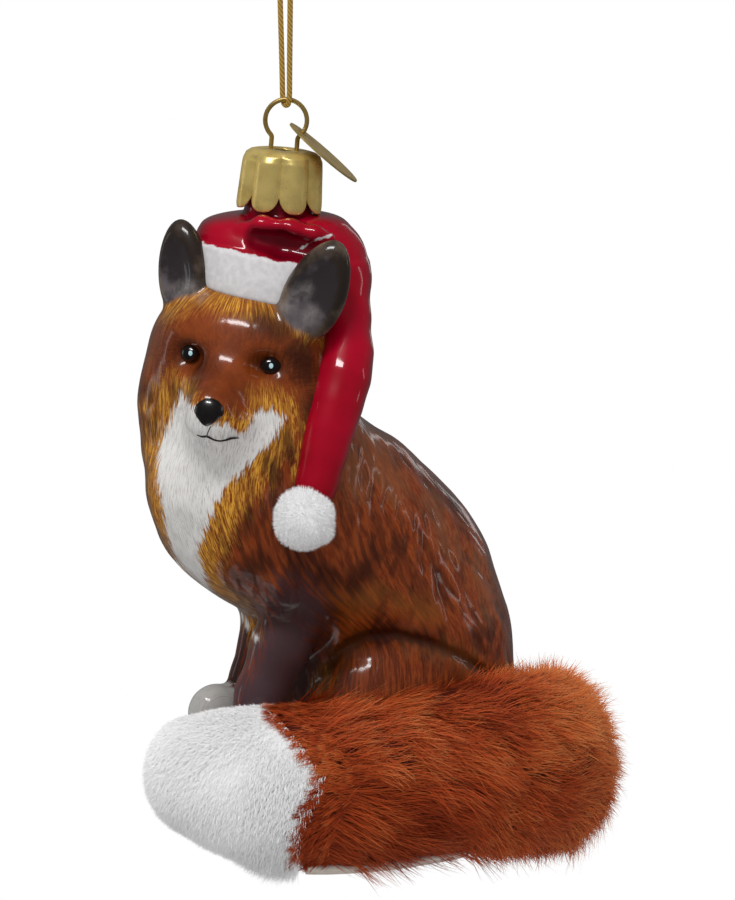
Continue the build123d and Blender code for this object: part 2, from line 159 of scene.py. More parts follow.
paints = {
    "chestnut": "742a08", "chestnutLight": "944716", "chestnutDark": "2b0e04", "face": "7b340c",
    "tan": "96603c", "faceDark": "541f08", "ochre": "d69a34", "ochreDark": "8a480c", "white": "dcdad7",
    "whiteStroke": "bbb7b3", "amber": "7c4a14", "sock": "3a211b", "sockSheen": "48343a", "paw": "a9a7a4",
    "earRim": "2b221d", "earRimLight": "68584a", "earInside": "2f292b", "earHair": "615a5d", "tuft": "aca3a0",
    "hat": "8c0016", "hatLight": "a30022", "hatEdgeShade": "4c0012", "hatShade": "30000a", "frost": "c0bdbe",
    "frostLight": "cdcacb", "eye": "050506", "eyeLight": "15100e", "spark": "b9dbe4", "nose": "060505",
    "noseLight": "1b1515", "lips": "140e0c", "lipsLight": "2c1a13",
    "furRoot": "4a1407", "furDark": "8c3010", "fur": "b4481b", "furLight": "c6642d", "furTip": "dc9c60",
    "plush": "e9e9ea", "plushLight": "fafafa", "plushRootShade": "cfd1d5", "cloth": "b9aca0",
    "clothLight": "d9cfc6",
    "cord": "b98629", "cordLight": "e0bd6a", "cap": "f0d583", "capDark": "c09a45", "wire": "b09452",
    "wireDark": "6a5428", "tag": "bea362", "tagDark": "7b6434", "glue": "cfc9b4", "glueLight": "e8e4d6",
    "floor": "ededed", "floorLight": "f6f6f6",
}


def paintColour(name):
    digits = paints[name]
    channels = [int(digits[start:start + 2], 16) / 255 for start in (0, 2, 4)]
    linear = [value / 12.92 if value <= 0.04045 else ((value + 0.055) / 1.055) ** 2.4 for value in channels]
    return (*linear, 1.0)


def feed(tree, value, socket):
    # A colour is given by its paint's name, and whatever isn't a plain value is linked
    if isinstance(value, str):
        socket.default_value = paintColour(value)
    elif isinstance(value, (int, float, tuple)):
        socket.default_value = value
    else:
        tree.links.new(value, socket)


def fill(tree, node, **values):
    for label, value in values.items():
        feed(tree, value, node.inputs[label.replace("_", " ")])


def mathNode(tree, operation, *values):
    node = tree.nodes.new("ShaderNodeMath")
    node.operation = operation
    for value, socket in zip(values, node.inputs):
        feed(tree, value, socket)
    return node.outputs[0]


def vectorNode(tree, operation, first, **values):
    node = tree.nodes.new("ShaderNodeVectorMath")
    node.operation = operation
    feed(tree, first, node.inputs[0])
    fill(tree, node, **values)
    return node


def mixColour(tree, amount, low, high):
    node = tree.nodes.new("ShaderNodeMix")
    node.data_type = "RGBA"
    for index, value in ((0, amount), (6, low), (7, high)):
        feed(tree, value, node.inputs[index])
    return node.outputs[2]


def paintOver(tree, base, *coats):
    # Each coat is a mask, its strength and its colour
    for mask, strength, colour in coats:
        base = mixColour(tree, mathNode(tree, "MULTIPLY", mask, strength), base, colour)
    return base


def rangeNode(tree, value, low, high, toLow=0.0, toHigh=1.0, smooth=True):
    node = tree.nodes.new("ShaderNodeMapRange")
    node.interpolation_type = "SMOOTHSTEP" if smooth else "LINEAR"
    for index, part in enumerate((value, low, high, toLow, toHigh)):
        feed(tree, part, node.inputs[index])
    return node.outputs[0]


def attribute(tree, name, output="Fac"):
    node = tree.nodes.new("ShaderNodeAttribute")
    node.attribute_name = name
    return node.outputs[output]


def objectSpace(tree):
    return tree.nodes.new("ShaderNodeTexCoord").outputs["Object"]


def turnedAway(tree):
    return tree.nodes.new("ShaderNodeLayerWeight").outputs["Facing"]


def noiseNode(tree, vector, scale, detail=3.0, roughness=0.55):
    node = tree.nodes.new("ShaderNodeTexNoise")
    fill(tree, node, Vector=vector, Scale=scale, Detail=detail, Roughness=roughness)
    return node.outputs["Fac"]


def newGroup(name, inputs, outputs):
    group = bpy.data.node_groups.new(name, "ShaderNodeTree")
    for direction, sockets in (("INPUT", inputs), ("OUTPUT", outputs)):
        for label, kind in sockets.items():
            group.interface.new_socket(name=label, in_out=direction, socket_type=f"NodeSocket{kind}")
    return group, group.nodes.new("NodeGroupInput").outputs, group.nodes.new("NodeGroupOutput").inputs


def hairStreakGroup():
    # Fine painted hairs: a stretched space goes in, a light and dark streak comes out
    group, entry, leave = newGroup("hairStreaks", {"Space": "Vector", "Fineness": "Float"},
                                   {"Streak": "Float", "Clump": "Float"})
    space = vectorNode(group, "SCALE", entry["Space"], Scale=entry["Fineness"]).outputs[0]
    feed(group, rangeNode(group, noiseNode(group, space, 3.2, 4.0, 0.65), 0.33, 0.67), leave["Streak"])
    feed(group, rangeNode(group, noiseNode(group, space, 0.9, 2.0, 0.5), 0.35, 0.65), leave["Clump"])
    return group


def paintEdgeGroup():
    # A signed distance in millimetres becomes the ragged edge of a coat of paint
    group, entry, leave = newGroup(
        "paintEdge", {"Distance": "Float", "Wobble": "Float", "Ragged": "Float", "Soft": "Float"},
        {"Mask": "Float"})
    centred = mathNode(group, "SUBTRACT", entry["Wobble"], 0.5)
    moved = mathNode(group, "MULTIPLY_ADD", centred, entry["Ragged"], entry["Distance"])
    low = mathNode(group, "MULTIPLY", entry["Soft"], -1.0)
    feed(group, rangeNode(group, moved, low, entry["Soft"]), leave["Mask"])
    return group


def unevenToneGroup():
    # Small uneven tone of worn metal
    group, entry, leave = newGroup("unevenTone", {"Colour": "Color", "Size": "Float", "Strength": "Float"},
                                   {"Colour": "Color", "Tone": "Float"})
    tone = noiseNode(group, objectSpace(group), entry["Size"], 4.0, 0.5)
    centred = mathNode(group, "SUBTRACT", tone, 0.5)
    shift = mathNode(group, "MULTIPLY", centred, entry["Strength"])
    value = mathNode(group, "MULTIPLY_ADD", shift, 2.0, 1.0)
    feed(group, vectorNode(group, "SCALE", entry["Colour"], Scale=value).outputs[0], leave["Colour"])
    feed(group, tone, leave["Tone"])
    return group


hairStreaks, paintEdge, unevenTone = hairStreakGroup(), paintEdgeGroup(), unevenToneGroup()


def useGroup(tree, group, **values):
    node = tree.nodes.new("ShaderNodeGroup")
    node.node_tree = group
    fill(tree, node, **values)
    return node.outputs


def newMaterial(name, **settings):
    material = bpy.data.materials.new(name)
    material.use_nodes = True
    tree = material.node_tree
    shader = tree.nodes["Principled BSDF"]
    fill(tree, shader, **settings)
    return material, tree, shader


def bumpInto(tree, shader, height, strength, distance):
    bump = tree.nodes.new("ShaderNodeBump")
    fill(tree, bump, Height=height, Strength=strength, Distance=distance)
    fill(tree, shader, Normal=bump.outputs["Normal"])


def mottledMaterial(name, low, high, scale, detail=3.0, bump=(), **settings):
    material, tree, shader = newMaterial(name, **settings)
    mottle = noiseNode(tree, objectSpace(tree), scale, detail)
    fill(tree, shader, Base_Color=mixColour(tree, mottle, low, high))
    if bump:
        bumpInto(tree, shader, mottle, *bump)
    return material


# Mesh helpers

def attach(piece, body, slot, *nodes):
    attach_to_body(piece, body)
    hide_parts(*nodes)


def addPiece(name, points, faces, material, slot, *nodes, body="figure"):
    data = bpy.data.meshes.new(name)
    places = inMetres(points).astype(np.float32)
    data.vertices.add(len(places))
    data.vertices.foreach_set("co", places.ravel())
    data.loops.add(len(faces) * 4)
    data.loops.foreach_set("vertex_index", np.asarray(faces, dtype=np.int32).ravel())
    data.polygons.add(len(faces))
    data.polygons.foreach_set("loop_start", np.arange(len(faces), dtype=np.int32) * 4)
    data.update(calc_edges=True)
    data.polygons.foreach_set("use_smooth", np.ones(len(faces), dtype=bool))
    data.materials.append(material)
    piece = newObject(name, data)
    attach(piece, body, slot, *nodes)
    return piece


def addTube(name, places, diameter, roundness, material):
    # A round cord along places given in metres
    data = bpy.data.curves.new(name, "CURVE")
    data.dimensions = "3D"
    data.bevel_depth = diameter / 2 * mm
    data.bevel_resolution = roundness
    spline = data.splines.new("NURBS")
    spline.points.add(len(places) - 1)
    for point, place in zip(spline.points, places):
        point.co = (*place, 1.0)
    spline.order_u = 3
    spline.use_endpoint_u = True
    data.materials.append(material)
    return newObject(name, data), spline


def store(piece, **values):
    for name, value in values.items():
        layer = piece.data.attributes.new(name, "FLOAT", "POINT")
        layer.data.foreach_set("value", np.asarray(value, dtype=np.float32))


def storeVector(piece, name, values):
    layer = piece.data.attributes.new(name, "FLOAT_VECTOR", "POINT")
    layer.data.foreach_set("vector", np.asarray(values, dtype=np.float32).ravel())


def gridFaces(index, closed=False):
    # Quads between the neighbours in a grid of point numbers
    if closed:
        index = np.concatenate([index, index[:, :1]], axis=1)
    return np.stack([index[:-1, :-1], index[1:, :-1], index[1:, 1:], index[:-1, 1:]], axis=-1).reshape(-1, 4)


def smoothMin(first, second, blend):
    share = np.clip(0.5 + 0.5 * (second - first) / blend, 0.0, 1.0)
    return second + (first - second) * share - blend * share * (1.0 - share)


def smoothMax(first, second, blend):
    return -smoothMin(-first, -second, blend)


def ellipsoidField(points, centre, radii):
    away = points - np.asarray(centre, dtype=np.float32)
    radii = np.asarray(radii, dtype=np.float32)
    near = np.linalg.norm(away / radii, axis=1)
    steep = np.linalg.norm(away / (radii * radii), axis=1) + 1e-6
    return near * (near - 1.0) / steep


def awayFrom(points, start, end):
    # Distance from the line between two places, and the share of it that lies before the nearest point
    run = end - start
    share = np.clip((points - start) @ run / (run @ run), 0.0, 1.0)
    return np.linalg.norm(points - (start + share[:, None] * run), axis=1), share


def coneField(points, start, end, startRadius, endRadius):
    away, share = awayFrom(points, np.asarray(start, dtype=np.float32), np.asarray(end, dtype=np.float32))
    return away - (startRadius + (endRadius - startRadius) * share)


def chainField(points, chain, blend, at=atRing):
    # Cones from each place of a chain to the next, each place with its radius last
    form = None
    for (*start, startRadius), (*end, endRadius) in zip(chain, chain[1:]):
        part = coneField(points, at(*start), at(*end), startRadius, endRadius)
        form = part if form is None else smoothMin(form, part, blend)
    return form


def smoothTable(heights, rows, at):
    # Catmull-Rom through the rows of a table, for implicit lofts
    heights = np.asarray(heights, dtype=float)
    rows = np.asarray(rows, dtype=float)
    index = np.clip(np.searchsorted(heights, at) - 1, 0, len(heights) - 2)
    span = heights[index + 1] - heights[index]
    share = np.clip((at - heights[index]) / span, 0.0, 1.0)[:, None]
    slopes = np.gradient(rows, heights, axis=0)
    low, high = rows[index], rows[index + 1]
    lowSlope, highSlope = slopes[index] * span[:, None], slopes[index + 1] * span[:, None]
    square, cube = share ** 2, share ** 3
    return ((2 * cube - 3 * square + 1) * low + (cube - 2 * square + share) * lowSlope
            + (3 * square - 2 * cube) * high + (cube - square) * highSlope)


def fieldSlope(field, points, reach):
    corners = np.array([[1, -1, -1], [-1, -1, 1], [-1, 1, -1], [1, 1, 1]], dtype=float)
    total = np.zeros_like(points)
    for corner in corners:
        total += corner * field((points + corner * reach).astype(np.float32))[:, None]
    return total / (4 * reach)


def fieldMesh(field, low, high, step):
    # Surface of a field: a coarse pass finds the cells near it, a fine pass evaluates those
    block = 4
    low, high = np.asarray(low, dtype=float), np.asarray(high, dtype=float)
    count = np.ceil((high - low) / (step * block)).astype(int)
    index = np.stack(np.meshgrid(*[np.arange(size) for size in count], indexing="ij"), axis=-1).reshape(-1, 3)
    middles = (low + (index * block + (block - 1) / 2) * step).astype(np.float32)
    coarse = field(middles).reshape(count)
    values = np.repeat(np.repeat(np.repeat(coarse, block, 0), block, 1), block, 2).astype(np.float32)
    cells = np.argwhere(np.abs(coarse) < step * block * 1.9)
    offsets = np.argwhere(np.ones((block, block, block), dtype=bool))
    for chunk in np.array_split(cells, max(1, len(cells) // 6000)):
        fine = (chunk[:, None, :] * block + offsets[None, :, :]).reshape(-1, 3)
        values[fine[:, 0], fine[:, 1], fine[:, 2]] = field((low + fine * step).astype(np.float32))
    grid = openvdb.FloatGrid()
    grid.background = float(step * block)
    grid.copyFromArray(values)
    points, quads = grid.convertToQuads(0.0)
    points = low + np.asarray(points, dtype=float) * step
    for _ in range(2):
        slope = fieldSlope(field, points, step * 0.5)
        length = np.linalg.norm(slope, axis=1)
        move = np.clip(field(points.astype(np.float32)) / np.maximum(length, 0.2), -step, step)
        points = points - slope / np.maximum(length, 1e-6)[:, None] * move[:, None]
    normals = outwardNormals(field, points)
    return points, facingOut(points, np.asarray(quads), normals), normals


def outwardNormals(field, points):
    return unitRows(fieldSlope(field, points, 0.3))


def facingOut(points, quads, normals):
    # The quads, turned so that they face the way the field rises
    first, second = points[quads[:, 2]] - points[quads[:, 0]], points[quads[:, 3]] - points[quads[:, 1]]
    agree = np.sum(np.cross(first, second) * normals[quads[:, 0]], axis=1).sum()
    return quads if agree > 0 else quads[:, ::-1]


def outlineDistance(points, outline):
    # Signed distance in pixels from an outline drawn over the photograph, positive inside
    corners = np.asarray(outline, dtype=float)
    best = np.full(len(points), 1e9)
    inside = np.zeros(len(points), dtype=bool)
    for start, end in zip(corners, np.roll(corners, -1, axis=0)):
        best = np.minimum(best, awayFrom(points, start, end)[0])
        crosses = (start[1] > points[:, 1]) != (end[1] > points[:, 1])
        rise = end[1] - start[1] if end[1] != start[1] else 1e-9
        where = start[0] + (points[:, 1] - start[1]) * (end[0] - start[0]) / rise
        inside ^= crosses & (points[:, 0] < where)
    return np.where(inside, best, -best)


def strokeDistance(pixels, strokes):
    # Distance in millimetres inside any of the strokes, negative outside them
    best = np.full(len(pixels), -60.0)
    for half, *places in strokes:
        places = np.array(places, dtype=float)
        for start, end in zip(places, places[1:]):
            best = np.maximum(best, half - awayFrom(pixels, start, end)[0])
    return best * photo["millimetresPerPixel"]


# The fox: one blown form, from the base to the ears

torsoShape = {
    # drop below the ring's top, then forward place, half length and half width
    "drops": (46, 50, 57, 61, 65.2, 71.5, 77.5, 82, 85.1, 89.6, 93, 100, 108, 112, 114.5),
    "rows": ((8.0, 9.0, 11.0), (6.5, 12.0, 13.0), (3.9, 17.9, 15.5), (2.2, 22.6, 16.3), (0.4, 25.5, 17.0),
             (-3.8, 28.3, 17.8), (-7.7, 29.2, 18.5), (-11.0, 28.4, 19.0), (-13.4, 26.9, 19.5),
             (-17.4, 24.2, 20.0), (-19.9, 22.8, 20.5), (-21.5, 22.0, 21.0), (-21.6, 21.3, 20.5),
             (-21.5, 19.0, 18.0), (-21.5, 15.0, 14.0)),
    "base": 114.5, "top": 48.0, "fullness": 0.55,
    # centre forward, left and down, then radii
    "haunch": ((-13.0, 12.5, 108.0), (10.8, 15.5, 16.4)), "shoulder": ((3.0, 10.0, 73.5), (7.4, 10.5, 12.0)),
}
headShape = {
    "forward": 8.0, "drop": 45.0, "yaw": 39.0, "roll": 4.0,
    # centre left, ahead and up on the head, then radii; "joined" has how softly each is joined as well
    "skull": ((-0.9, -1.0, 0.2), (17.1, 13.6, 15.2)),
    "joined": (((-0.2, 1.0, -8.5), (17.9, 11.0, 12.0), 5.0), ((0, 6.0, 4.5), (11.5, 6.6, 6.6), 4.0)),
    "bridge": ((0, 7.0, -1.0), (0, 19.5, -4.2), 6.4, 3.5),
    "muzzle": (((0.2, 15.5, -7.4), (5.6, 6.6, 3.9), 3.0), ((0.2, 14.0, -11.0), (4.2, 5.6, 3.2), 2.5)),
    "socket": ((7.2, 12.6, 2.2), (3.1, 2.6, 2.3)), "ruffPoint": ((13.4, 1.0, -9.0), (4.2, 6.5, 9.0)),
    "faceMiddle": (0, 20.0, -3.0),
}


def headAxes():
    yaw, roll = math.radians(headShape["yaw"]), math.radians(headShape["roll"])
    left = np.array([math.cos(yaw), math.sin(yaw), 0.0])
    ahead = np.array([math.sin(yaw), -math.cos(yaw), 0.0])
    tilted = left * math.cos(roll) - upward * math.sin(roll)
    return np.array([tilted, ahead, np.cross(tilted, -ahead)])


headFrame = headAxes()
headCentre = atFox(headShape["forward"], 0, headShape["drop"])


def onHead(left, ahead, up):
    return headCentre + left * headFrame[0] + ahead * headFrame[1] + up * headFrame[2]


def torsoField(points):
    table = smoothTable(torsoShape["drops"], torsoShape["rows"], -points[:, 2])
    forward, length, width = table[:, 0], table[:, 1], table[:, 2]
    away = np.hypot((-points[:, 1] - forward) / length, points[:, 0] / width)
    side = (away - 1.0) * np.minimum(length, width) * 0.95 - torsoShape["fullness"]
    side = smoothMax(side, points[:, 2] + torsoShape["top"], 3.0)
    return smoothMax(side, -torsoShape["base"] - points[:, 2], 3.0)


def headField(points):
    local = (points - headCentre.astype(np.float32)) @ headFrame.T.astype(np.float32)
    form = ellipsoidField(local, *headShape["skull"])
    for centre, radii, blend in headShape["joined"]:
        form = smoothMin(form, ellipsoidField(local, centre, radii), blend)
    form = smoothMin(form, coneField(local, *headShape["bridge"]), 4.5)
    for centre, radii, blend in headShape["muzzle"]:
        form = smoothMin(form, ellipsoidField(local, centre, radii), blend)
    for hand in hands:
        (socket, socketRadii), (ruff, ruffRadii) = headShape["socket"], headShape["ruffPoint"]
        form = smoothMax(form, -ellipsoidField(local, np.multiply(socket, (hand, 1, 1)), socketRadii), 2.2)
        form = smoothMin(form, ellipsoidField(local, np.multiply(ruff, (hand, 1, 1)), ruffRadii), 3.0)
    return form


earShape = {
    "right": {"base": (-11.2, 3.4, 8.2), "tip": (-12.6, 2.6, 22.6), "facing": (-0.42, 0.90, 0.0)},
    "left": {"base": (10.2, 7.0, 7.2), "tip": (16.0, 6.0, 22.4), "facing": (0.05, 0.99, 0.0)},
    "halfWidth": 5.3, "halfThick": 2.9, "scoop": 1.3, "taper": 0.16, "curl": 0.020,
}


def earFrame(side):
    shape = earShape[side]
    base, tip = onHead(*shape["base"]), onHead(*shape["tip"])
    along = unit(tip - base)
    facing = headFrame.T @ np.array(shape["facing"])
    facing = unit(facing - along * (facing @ along))
    return base, tip, np.array([np.cross(along, facing), facing, along])


def earField(points, side):
    base, tip, axes = earFrame(side)
    local = (points - ((base + tip) / 2).astype(np.float32)) @ axes.T.astype(np.float32)
    half = np.linalg.norm(tip - base) / 2 + 1.2
    width = earShape["halfWidth"]
    taper = 1.0 - earShape["taper"] * np.clip(local[:, 2] / half, -1, 1)
    curled = local[:, 1] + earShape["curl"] * local[:, 0] ** 2
    squeezed = np.stack([local[:, 0] / taper, curled, local[:, 2]], axis=1)
    leaf = ellipsoidField(squeezed, (0, 0, 0), (width, earShape["halfThick"], half))
    hollow = ellipsoidField(squeezed, (0, 3.1, -1.0), (width - 1.0, earShape["scoop"] + 0.9, half - 1.6))
    return smoothMax(leaf, -hollow, 1.2), squeezed


legShape = {
    # forward, left, drop and radius along each foreleg
    "left": ((0.5, 8.0, 80.0, 6.5), (2.6, 7.5, 86.0, 5.7), (6.4, 7.0, 94.0, 5.0), (10.0, 6.8, 102.0, 4.6),
             (12.0, 6.8, 109.0, 4.3)),
    "right": ((-1.0, -6.5, 82.0, 5.4), (1.0, -6.0, 91.4, 3.8), (4.2, -6.0, 102.0, 3.2),
              (6.5, -6.0, 106.5, 3.2)),
    "paws": {"left": (14.0, 7.0, 109.8), "right": (11.3, -6.0, 107.3)}, "pawRadii": (4.0, 5.2, 4.7),
    # the grooves between the toes, from the paw's middle
    "toes": (-1.6, 0.0, 1.6), "groove": ((4.2, -2.6, 0.35), (6.6, 2.0, 0.45)),
}


def pawField(points, side):
    return ellipsoidField(points, atFox(*legShape["paws"][side]), legShape["pawRadii"])


def legField(points, side):
    form = smoothMin(chainField(points, legShape[side], 1.5, atFox), pawField(points, side), 2.0)
    forward, left, drop = legShape["paws"][side]
    for toe in legShape["toes"]:
        groove = [(forward + ahead, left + toe, drop + down, radius)
                  for ahead, down, radius in legShape["groove"]]
        form = smoothMax(form, -chainField(points, groove, 1.0, atFox), 0.7)
    return form


def bulgeField(points, part, hand):
    place, radii = torsoShape[part]
    return ellipsoidField(points, atFox(*np.multiply(place, (1, hand, 1))), radii)


def haunchField(points, hand):
    return smoothMax(bulgeField(points, "haunch", hand), -torsoShape["base"] - points[:, 2], 2.0)


def foxField(points):
    form = torsoField(points)
    for hand in hands:
        form = smoothMin(form, haunchField(points, hand), 1.6)
    for hand in hands:
        form = smoothMin(form, bulgeField(points, "shoulder", hand), 5.0)
    for side in sides:
        form = smoothMin(form, legField(points, side), 2.2)
    form = smoothMin(form, headField(points), 6.0)
    for side in sides:
        form = smoothMin(form, earField(points, side)[0], 1.6)
    return form


furStrokes = {
    # count, length, width and height of the strokes, the share that stands up, their bend and stray,
    # and the heights that they lie between
    "broad": (520, 9.0, 1.8, 0.16, 0.5, 0.012, 0.16, (-113, -52)),
    "fine": (2300, 6.0, 0.8, 0.09, 0.45, 0.02, 0.14, (-113, -50)),
    "head": (500, 3.6, 0.6, 0.025, 0.5, 0.02, 0.2, (-52, -28)),
    "draftShare": 0.35, "tallest": 0.34, "foldDepth": 0.5, "foldWidth": 0.8,
}


def flowDirection(points, normals):
    # Which way the carved fur lies: down the body, and away from the nose on the face
    local = (points - headCentre) @ headFrame.T
    outward = unitRows(points * np.array([1.0, 1.0, 0.0]))
    tilt = np.interp(points[:, 1], (0, 8, 16, 26), (0.1, 0.4, 0.05, -0.7))[:, None]
    front = ramp(-points[:, 1], 4.0, 18.0)[:, None]
    flow = (atFox(1, 0, 0) * tilt - upward) * (1 - front) + (outward * 0.1 - upward) * front
    face = ramp(local[:, 2], -12.0, -7.0)[:, None]
    down = ramp(-local[:, 2], 3.0, 13.0)[:, None]
    faceFlow = unitRows(points - onHead(*headShape["faceMiddle"])) - upward * 0.9 * down
    return unitRows(inSurface(flow * (1 - face) + faceFlow * face, normals))


def carveFur(points, normals, random):
    # Raised and sunk hair strokes laid along the flow; returns the height at each point
    tree = kdtree.KDTree(len(points))
    for index, point in enumerate(points):
        tree.insert(point, index)
    tree.balance()
    height = np.zeros(len(points))
    for kind in ("broad", "fine", "head"):
        count, longest, widest, highest, standing, bends, stray, (low, high) = furStrokes[kind]
        count = int(count * (1.0))
        chosen = (points[:, 2] > low) & (points[:, 2] < high)
        seeds = random.choice(np.nonzero(chosen)[0], count)
        flows = flowDirection(points[seeds], normals[seeds])
        for seed, flow in zip(seeds, flows):
            length = longest * random.uniform(0.6, 1.3)
            width = widest * random.uniform(0.7, 1.3)
            rise = highest * random.uniform(0.5, 1.2) * (1 if random.random() < standing else -1)
            bend = random.uniform(-1, 1) * bends
            turn = random.normal(0, stray)
            flow = flow * math.cos(turn) + np.cross(normals[seed], flow) * math.sin(turn)
            across = np.cross(normals[seed], flow)
            near = np.array([item[1] for item in tree.find_range(points[seed], length * 0.62)])
            away = points[near] - points[seed]
            along = away @ flow / length
            aside = away @ across - bend * (along * length) ** 2
            aside = aside / (width * (1.0 - 0.7 * np.clip(along, -0.5, 0.5)))
            fade = np.clip(1.0 - (2 * along) ** 2, 0, 1)
            height[near] += rise * np.exp(-aside ** 2 * 2.2) * fade * np.sqrt(fade)
    return height


# Outlines drawn over the photograph, in its pixels
photoOutlines = {
    "bib": ((181, 393), (171, 421), (161, 444), (158, 464), (160, 487), (163, 513), (168, 538), (178, 564),
            (191, 577), (209, 593), (242, 618), (256, 638), (240, 614), (214, 597), (205, 577), (199, 553),
            (204, 533), (214, 507), (224, 490), (240, 474), (257, 454), (273, 439), (284, 419), (272, 408),
            (262, 411), (254, 418), (246, 429), (240, 432), (227, 424), (214, 428), (203, 421), (194, 410),
            (188, 402)),
    "sock": ((266, 584), (285, 577), (318, 584), (330, 600), (318, 640), (308, 690), (276, 735), (222, 735),
             (230, 700), (246, 655), (258, 622)),
    "farSock": ((238, 612), (252, 632), (246, 700), (215, 700), (226, 655)),
}
photoStrokes = {
    # half width in pixels, then the places the stroke runs through
    "gold": ((6, (166, 309), (180, 300), (197, 295), (217, 298), (240, 305), (258, 310)),
             (9, (264, 304), (277, 307), (293, 317), (309, 330)),
             (6, (146, 402), (152, 425), (147, 455), (148, 485)), (4, (170, 382), (182, 390)),
             (9, (266, 402), (282, 408), (284, 428), (272, 450), (258, 472), (242, 492), (226, 518),
              (213, 545)),
             (6, (213, 545), (207, 575), (222, 600), (240, 616)),
             (4, (152, 490), (156, 525), (170, 560), (200, 598)),
             (4, (316, 694), (322, 678)), (8, (158, 398), (168, 394)),
             (3, (300, 470), (304, 450), (309, 430))),
    "amber": ((12, (330, 598), (350, 606), (374, 596)), (9, (398, 604), (430, 614)),
              (4, (318, 692), (327, 668), (344, 648), (362, 636)), (3, (442, 645), (468, 656), (488, 672)),
              (8, (300, 640), (312, 610))),
    # dark: painted shade in the creases, between the legs and the body and in the eye hollows, with a few
    # dark marks of paint on the cheeks
    "dark": ((4, (376, 555), (363, 574), (352, 588)), (7, (326, 576), (332, 584)),
             (6, (372, 634), (398, 630), (432, 638)), (5, (442, 476), (456, 500)),
             (7, (300, 558), (296, 588)),
             (12, (300, 350), (306, 368)), (3, (174, 389), (180, 398)), (5, (145, 391), (150, 396)),
             (4, (148, 420), (152, 432)), (6, (310, 405), (312, 422)), (3, (283, 436), (290, 456)),
             (3, (270, 462), (276, 476)), (4, (250, 512), (244, 530)), (9, (262, 560), (240, 580)),
             (10, (262, 322), (282, 330)), (5, (186, 352), (198, 362)), (6, (264, 364), (281, 368)),
             (7, (330, 700), (338, 676)), (8, (312, 640), (302, 690), (288, 724)),
             (9, (330, 610), (318, 640)), (6, (321, 578), (330, 590))),
    # fold: a groove carved round the thigh, which the paint also darkens as painted shade
    "fold": ((0, (318, 700), (322, 682), (329, 666), (338, 654), (347, 645), (367, 636), (398, 635),
              (431, 643), (462, 657), (494, 678)),),
    # tan: pale paint on the shoulder, back and cheek; its first stroke is a painted highlight along the top
    # of the thigh
    "tan": ((3, (408, 643), (431, 650), (462, 664), (490, 684)), (13, (366, 422), (378, 458), (394, 486)),
            (9, (350, 455), (360, 490)), (5, (476, 560), (492, 612)), (8, (146, 330), (142, 360)),
            (5, (430, 500), (452, 548))),
    "tuft": ((5, (286, 306), (296, 297), (305, 289)), (4, (306, 320), (314, 312)),
             (5, (180, 292), (190, 286), (200, 294))),
}
# The bib's half width on the side that the photograph doesn't show, which widens above a height
hiddenBib = {"half": 7.5, "height": -56.0, "widening": 1.5, "widest": 20}


def foxZones(piece, points, normals, height):
    pixels, small = inPhoto(points), points.astype(np.float32)
    facing = normals @ towardViewer
    seen = facing > -0.25
    local = (points - headCentre) @ headFrame.T

    def drawn(name):
        distance = outlineDistance(pixels, photoOutlines[name]) * photo["millimetresPerPixel"]
        return np.where(seen, distance, -6.0)

    ears, earInsides = np.zeros(len(points)), np.full(len(points), -3.0)
    for side in sides:
        distance, squeezed = earField(small, side)
        base, tip, axes = earFrame(side)
        above = (points - base) @ axes[2]
        ears = np.maximum(ears, ramp(-distance, -0.55, -0.25) * ramp(above, 0.2, 1.6))
        half = np.linalg.norm(tip - base) / 2
        rim = np.hypot(squeezed[:, 0] / (earShape["halfWidth"] - 1.5), (squeezed[:, 2] + 0.6) / (half - 1.2))
        inside = np.where(squeezed[:, 1] > -0.6, (1.0 - rim) * 3.0, -2.0)
        earInsides = np.maximum(earInsides, np.where(distance < 0.7, inside, -3.0))
    legs = 0.4 - np.minimum(*[legField(small, side) for side in sides])
    hiddenSock = np.minimum(legs * 2.0 + 1.0, (-points[:, 2] - 90.0) / 3.0)
    wider = (points[:, 2] - hiddenBib["height"]) * hiddenBib["widening"]
    hidden = points[:, 0] + hiddenBib["half"] + np.clip(wider, 0, hiddenBib["widest"])
    store(piece, bib=np.minimum(drawn("bib"), hidden), ear=ears, earInside=earInsides, carving=height,
          sock=np.where(seen, np.maximum(drawn("sock"), drawn("farSock")), hiddenSock),
          paw=0.5 - np.minimum(*[pawField(small, side) for side in sides]),
          face=ramp(local[:, 2], -11.0, -6.0) * ramp(local[:, 1], -6.0, 2.0))
    for name, strokes in photoStrokes.items():
        store(piece, **{name: np.where(facing > 0.0, strokeDistance(pixels, strokes), -8.0)})
    # Spaces in which the painted hairs run away from the nose, and down the body
    fromNose = points - onHead(*headShape["faceMiddle"])
    reach = np.linalg.norm(fromNose, axis=1)[:, None]
    storeVector(piece, "faceSpace", fromNose / reach * 11.0 + reach * np.array([0.1, 0.1, 0.1]))
    row = smoothTable(torsoShape["drops"], torsoShape["rows"], -points[:, 2])
    section = np.arctan2(points[:, 0] / row[:, 2], (-points[:, 1] - row[:, 0]) / row[:, 1])
    section = section - 0.012 * points[:, 2] * np.sin(section)
    rolled = [18 * np.cos(section), 18 * np.sin(section), 0.15 * points[:, 2]]
    storeVector(piece, "coatSpace", np.stack(rolled, axis=1))


def foxSmooth(points):
    # Distance from the parts that carry no carved fur: ears, legs, haunch, nose and eyes
    small = points.astype(np.float32)
    parts = [np.full(len(points), 5.0), 0.9 + np.clip(haunchField(small, 1), 0, 5)]
    for side in sides:
        parts.append(earField(small, side)[0] - 0.2)
        parts.append(legField(small, side) + 0.4 + np.clip((points[:, 2] + 90.0) * 0.6, 0, 5))
    for place, radius in (((0, 21.0, -4.0), 4.5), ((7.1, 11.0, 2.2), 2.6), ((-7.1, 11.0, 2.2), 2.6)):
        parts.append(np.linalg.norm(points - onHead(*place), axis=1) - radius)
    return np.min(parts, axis=0)


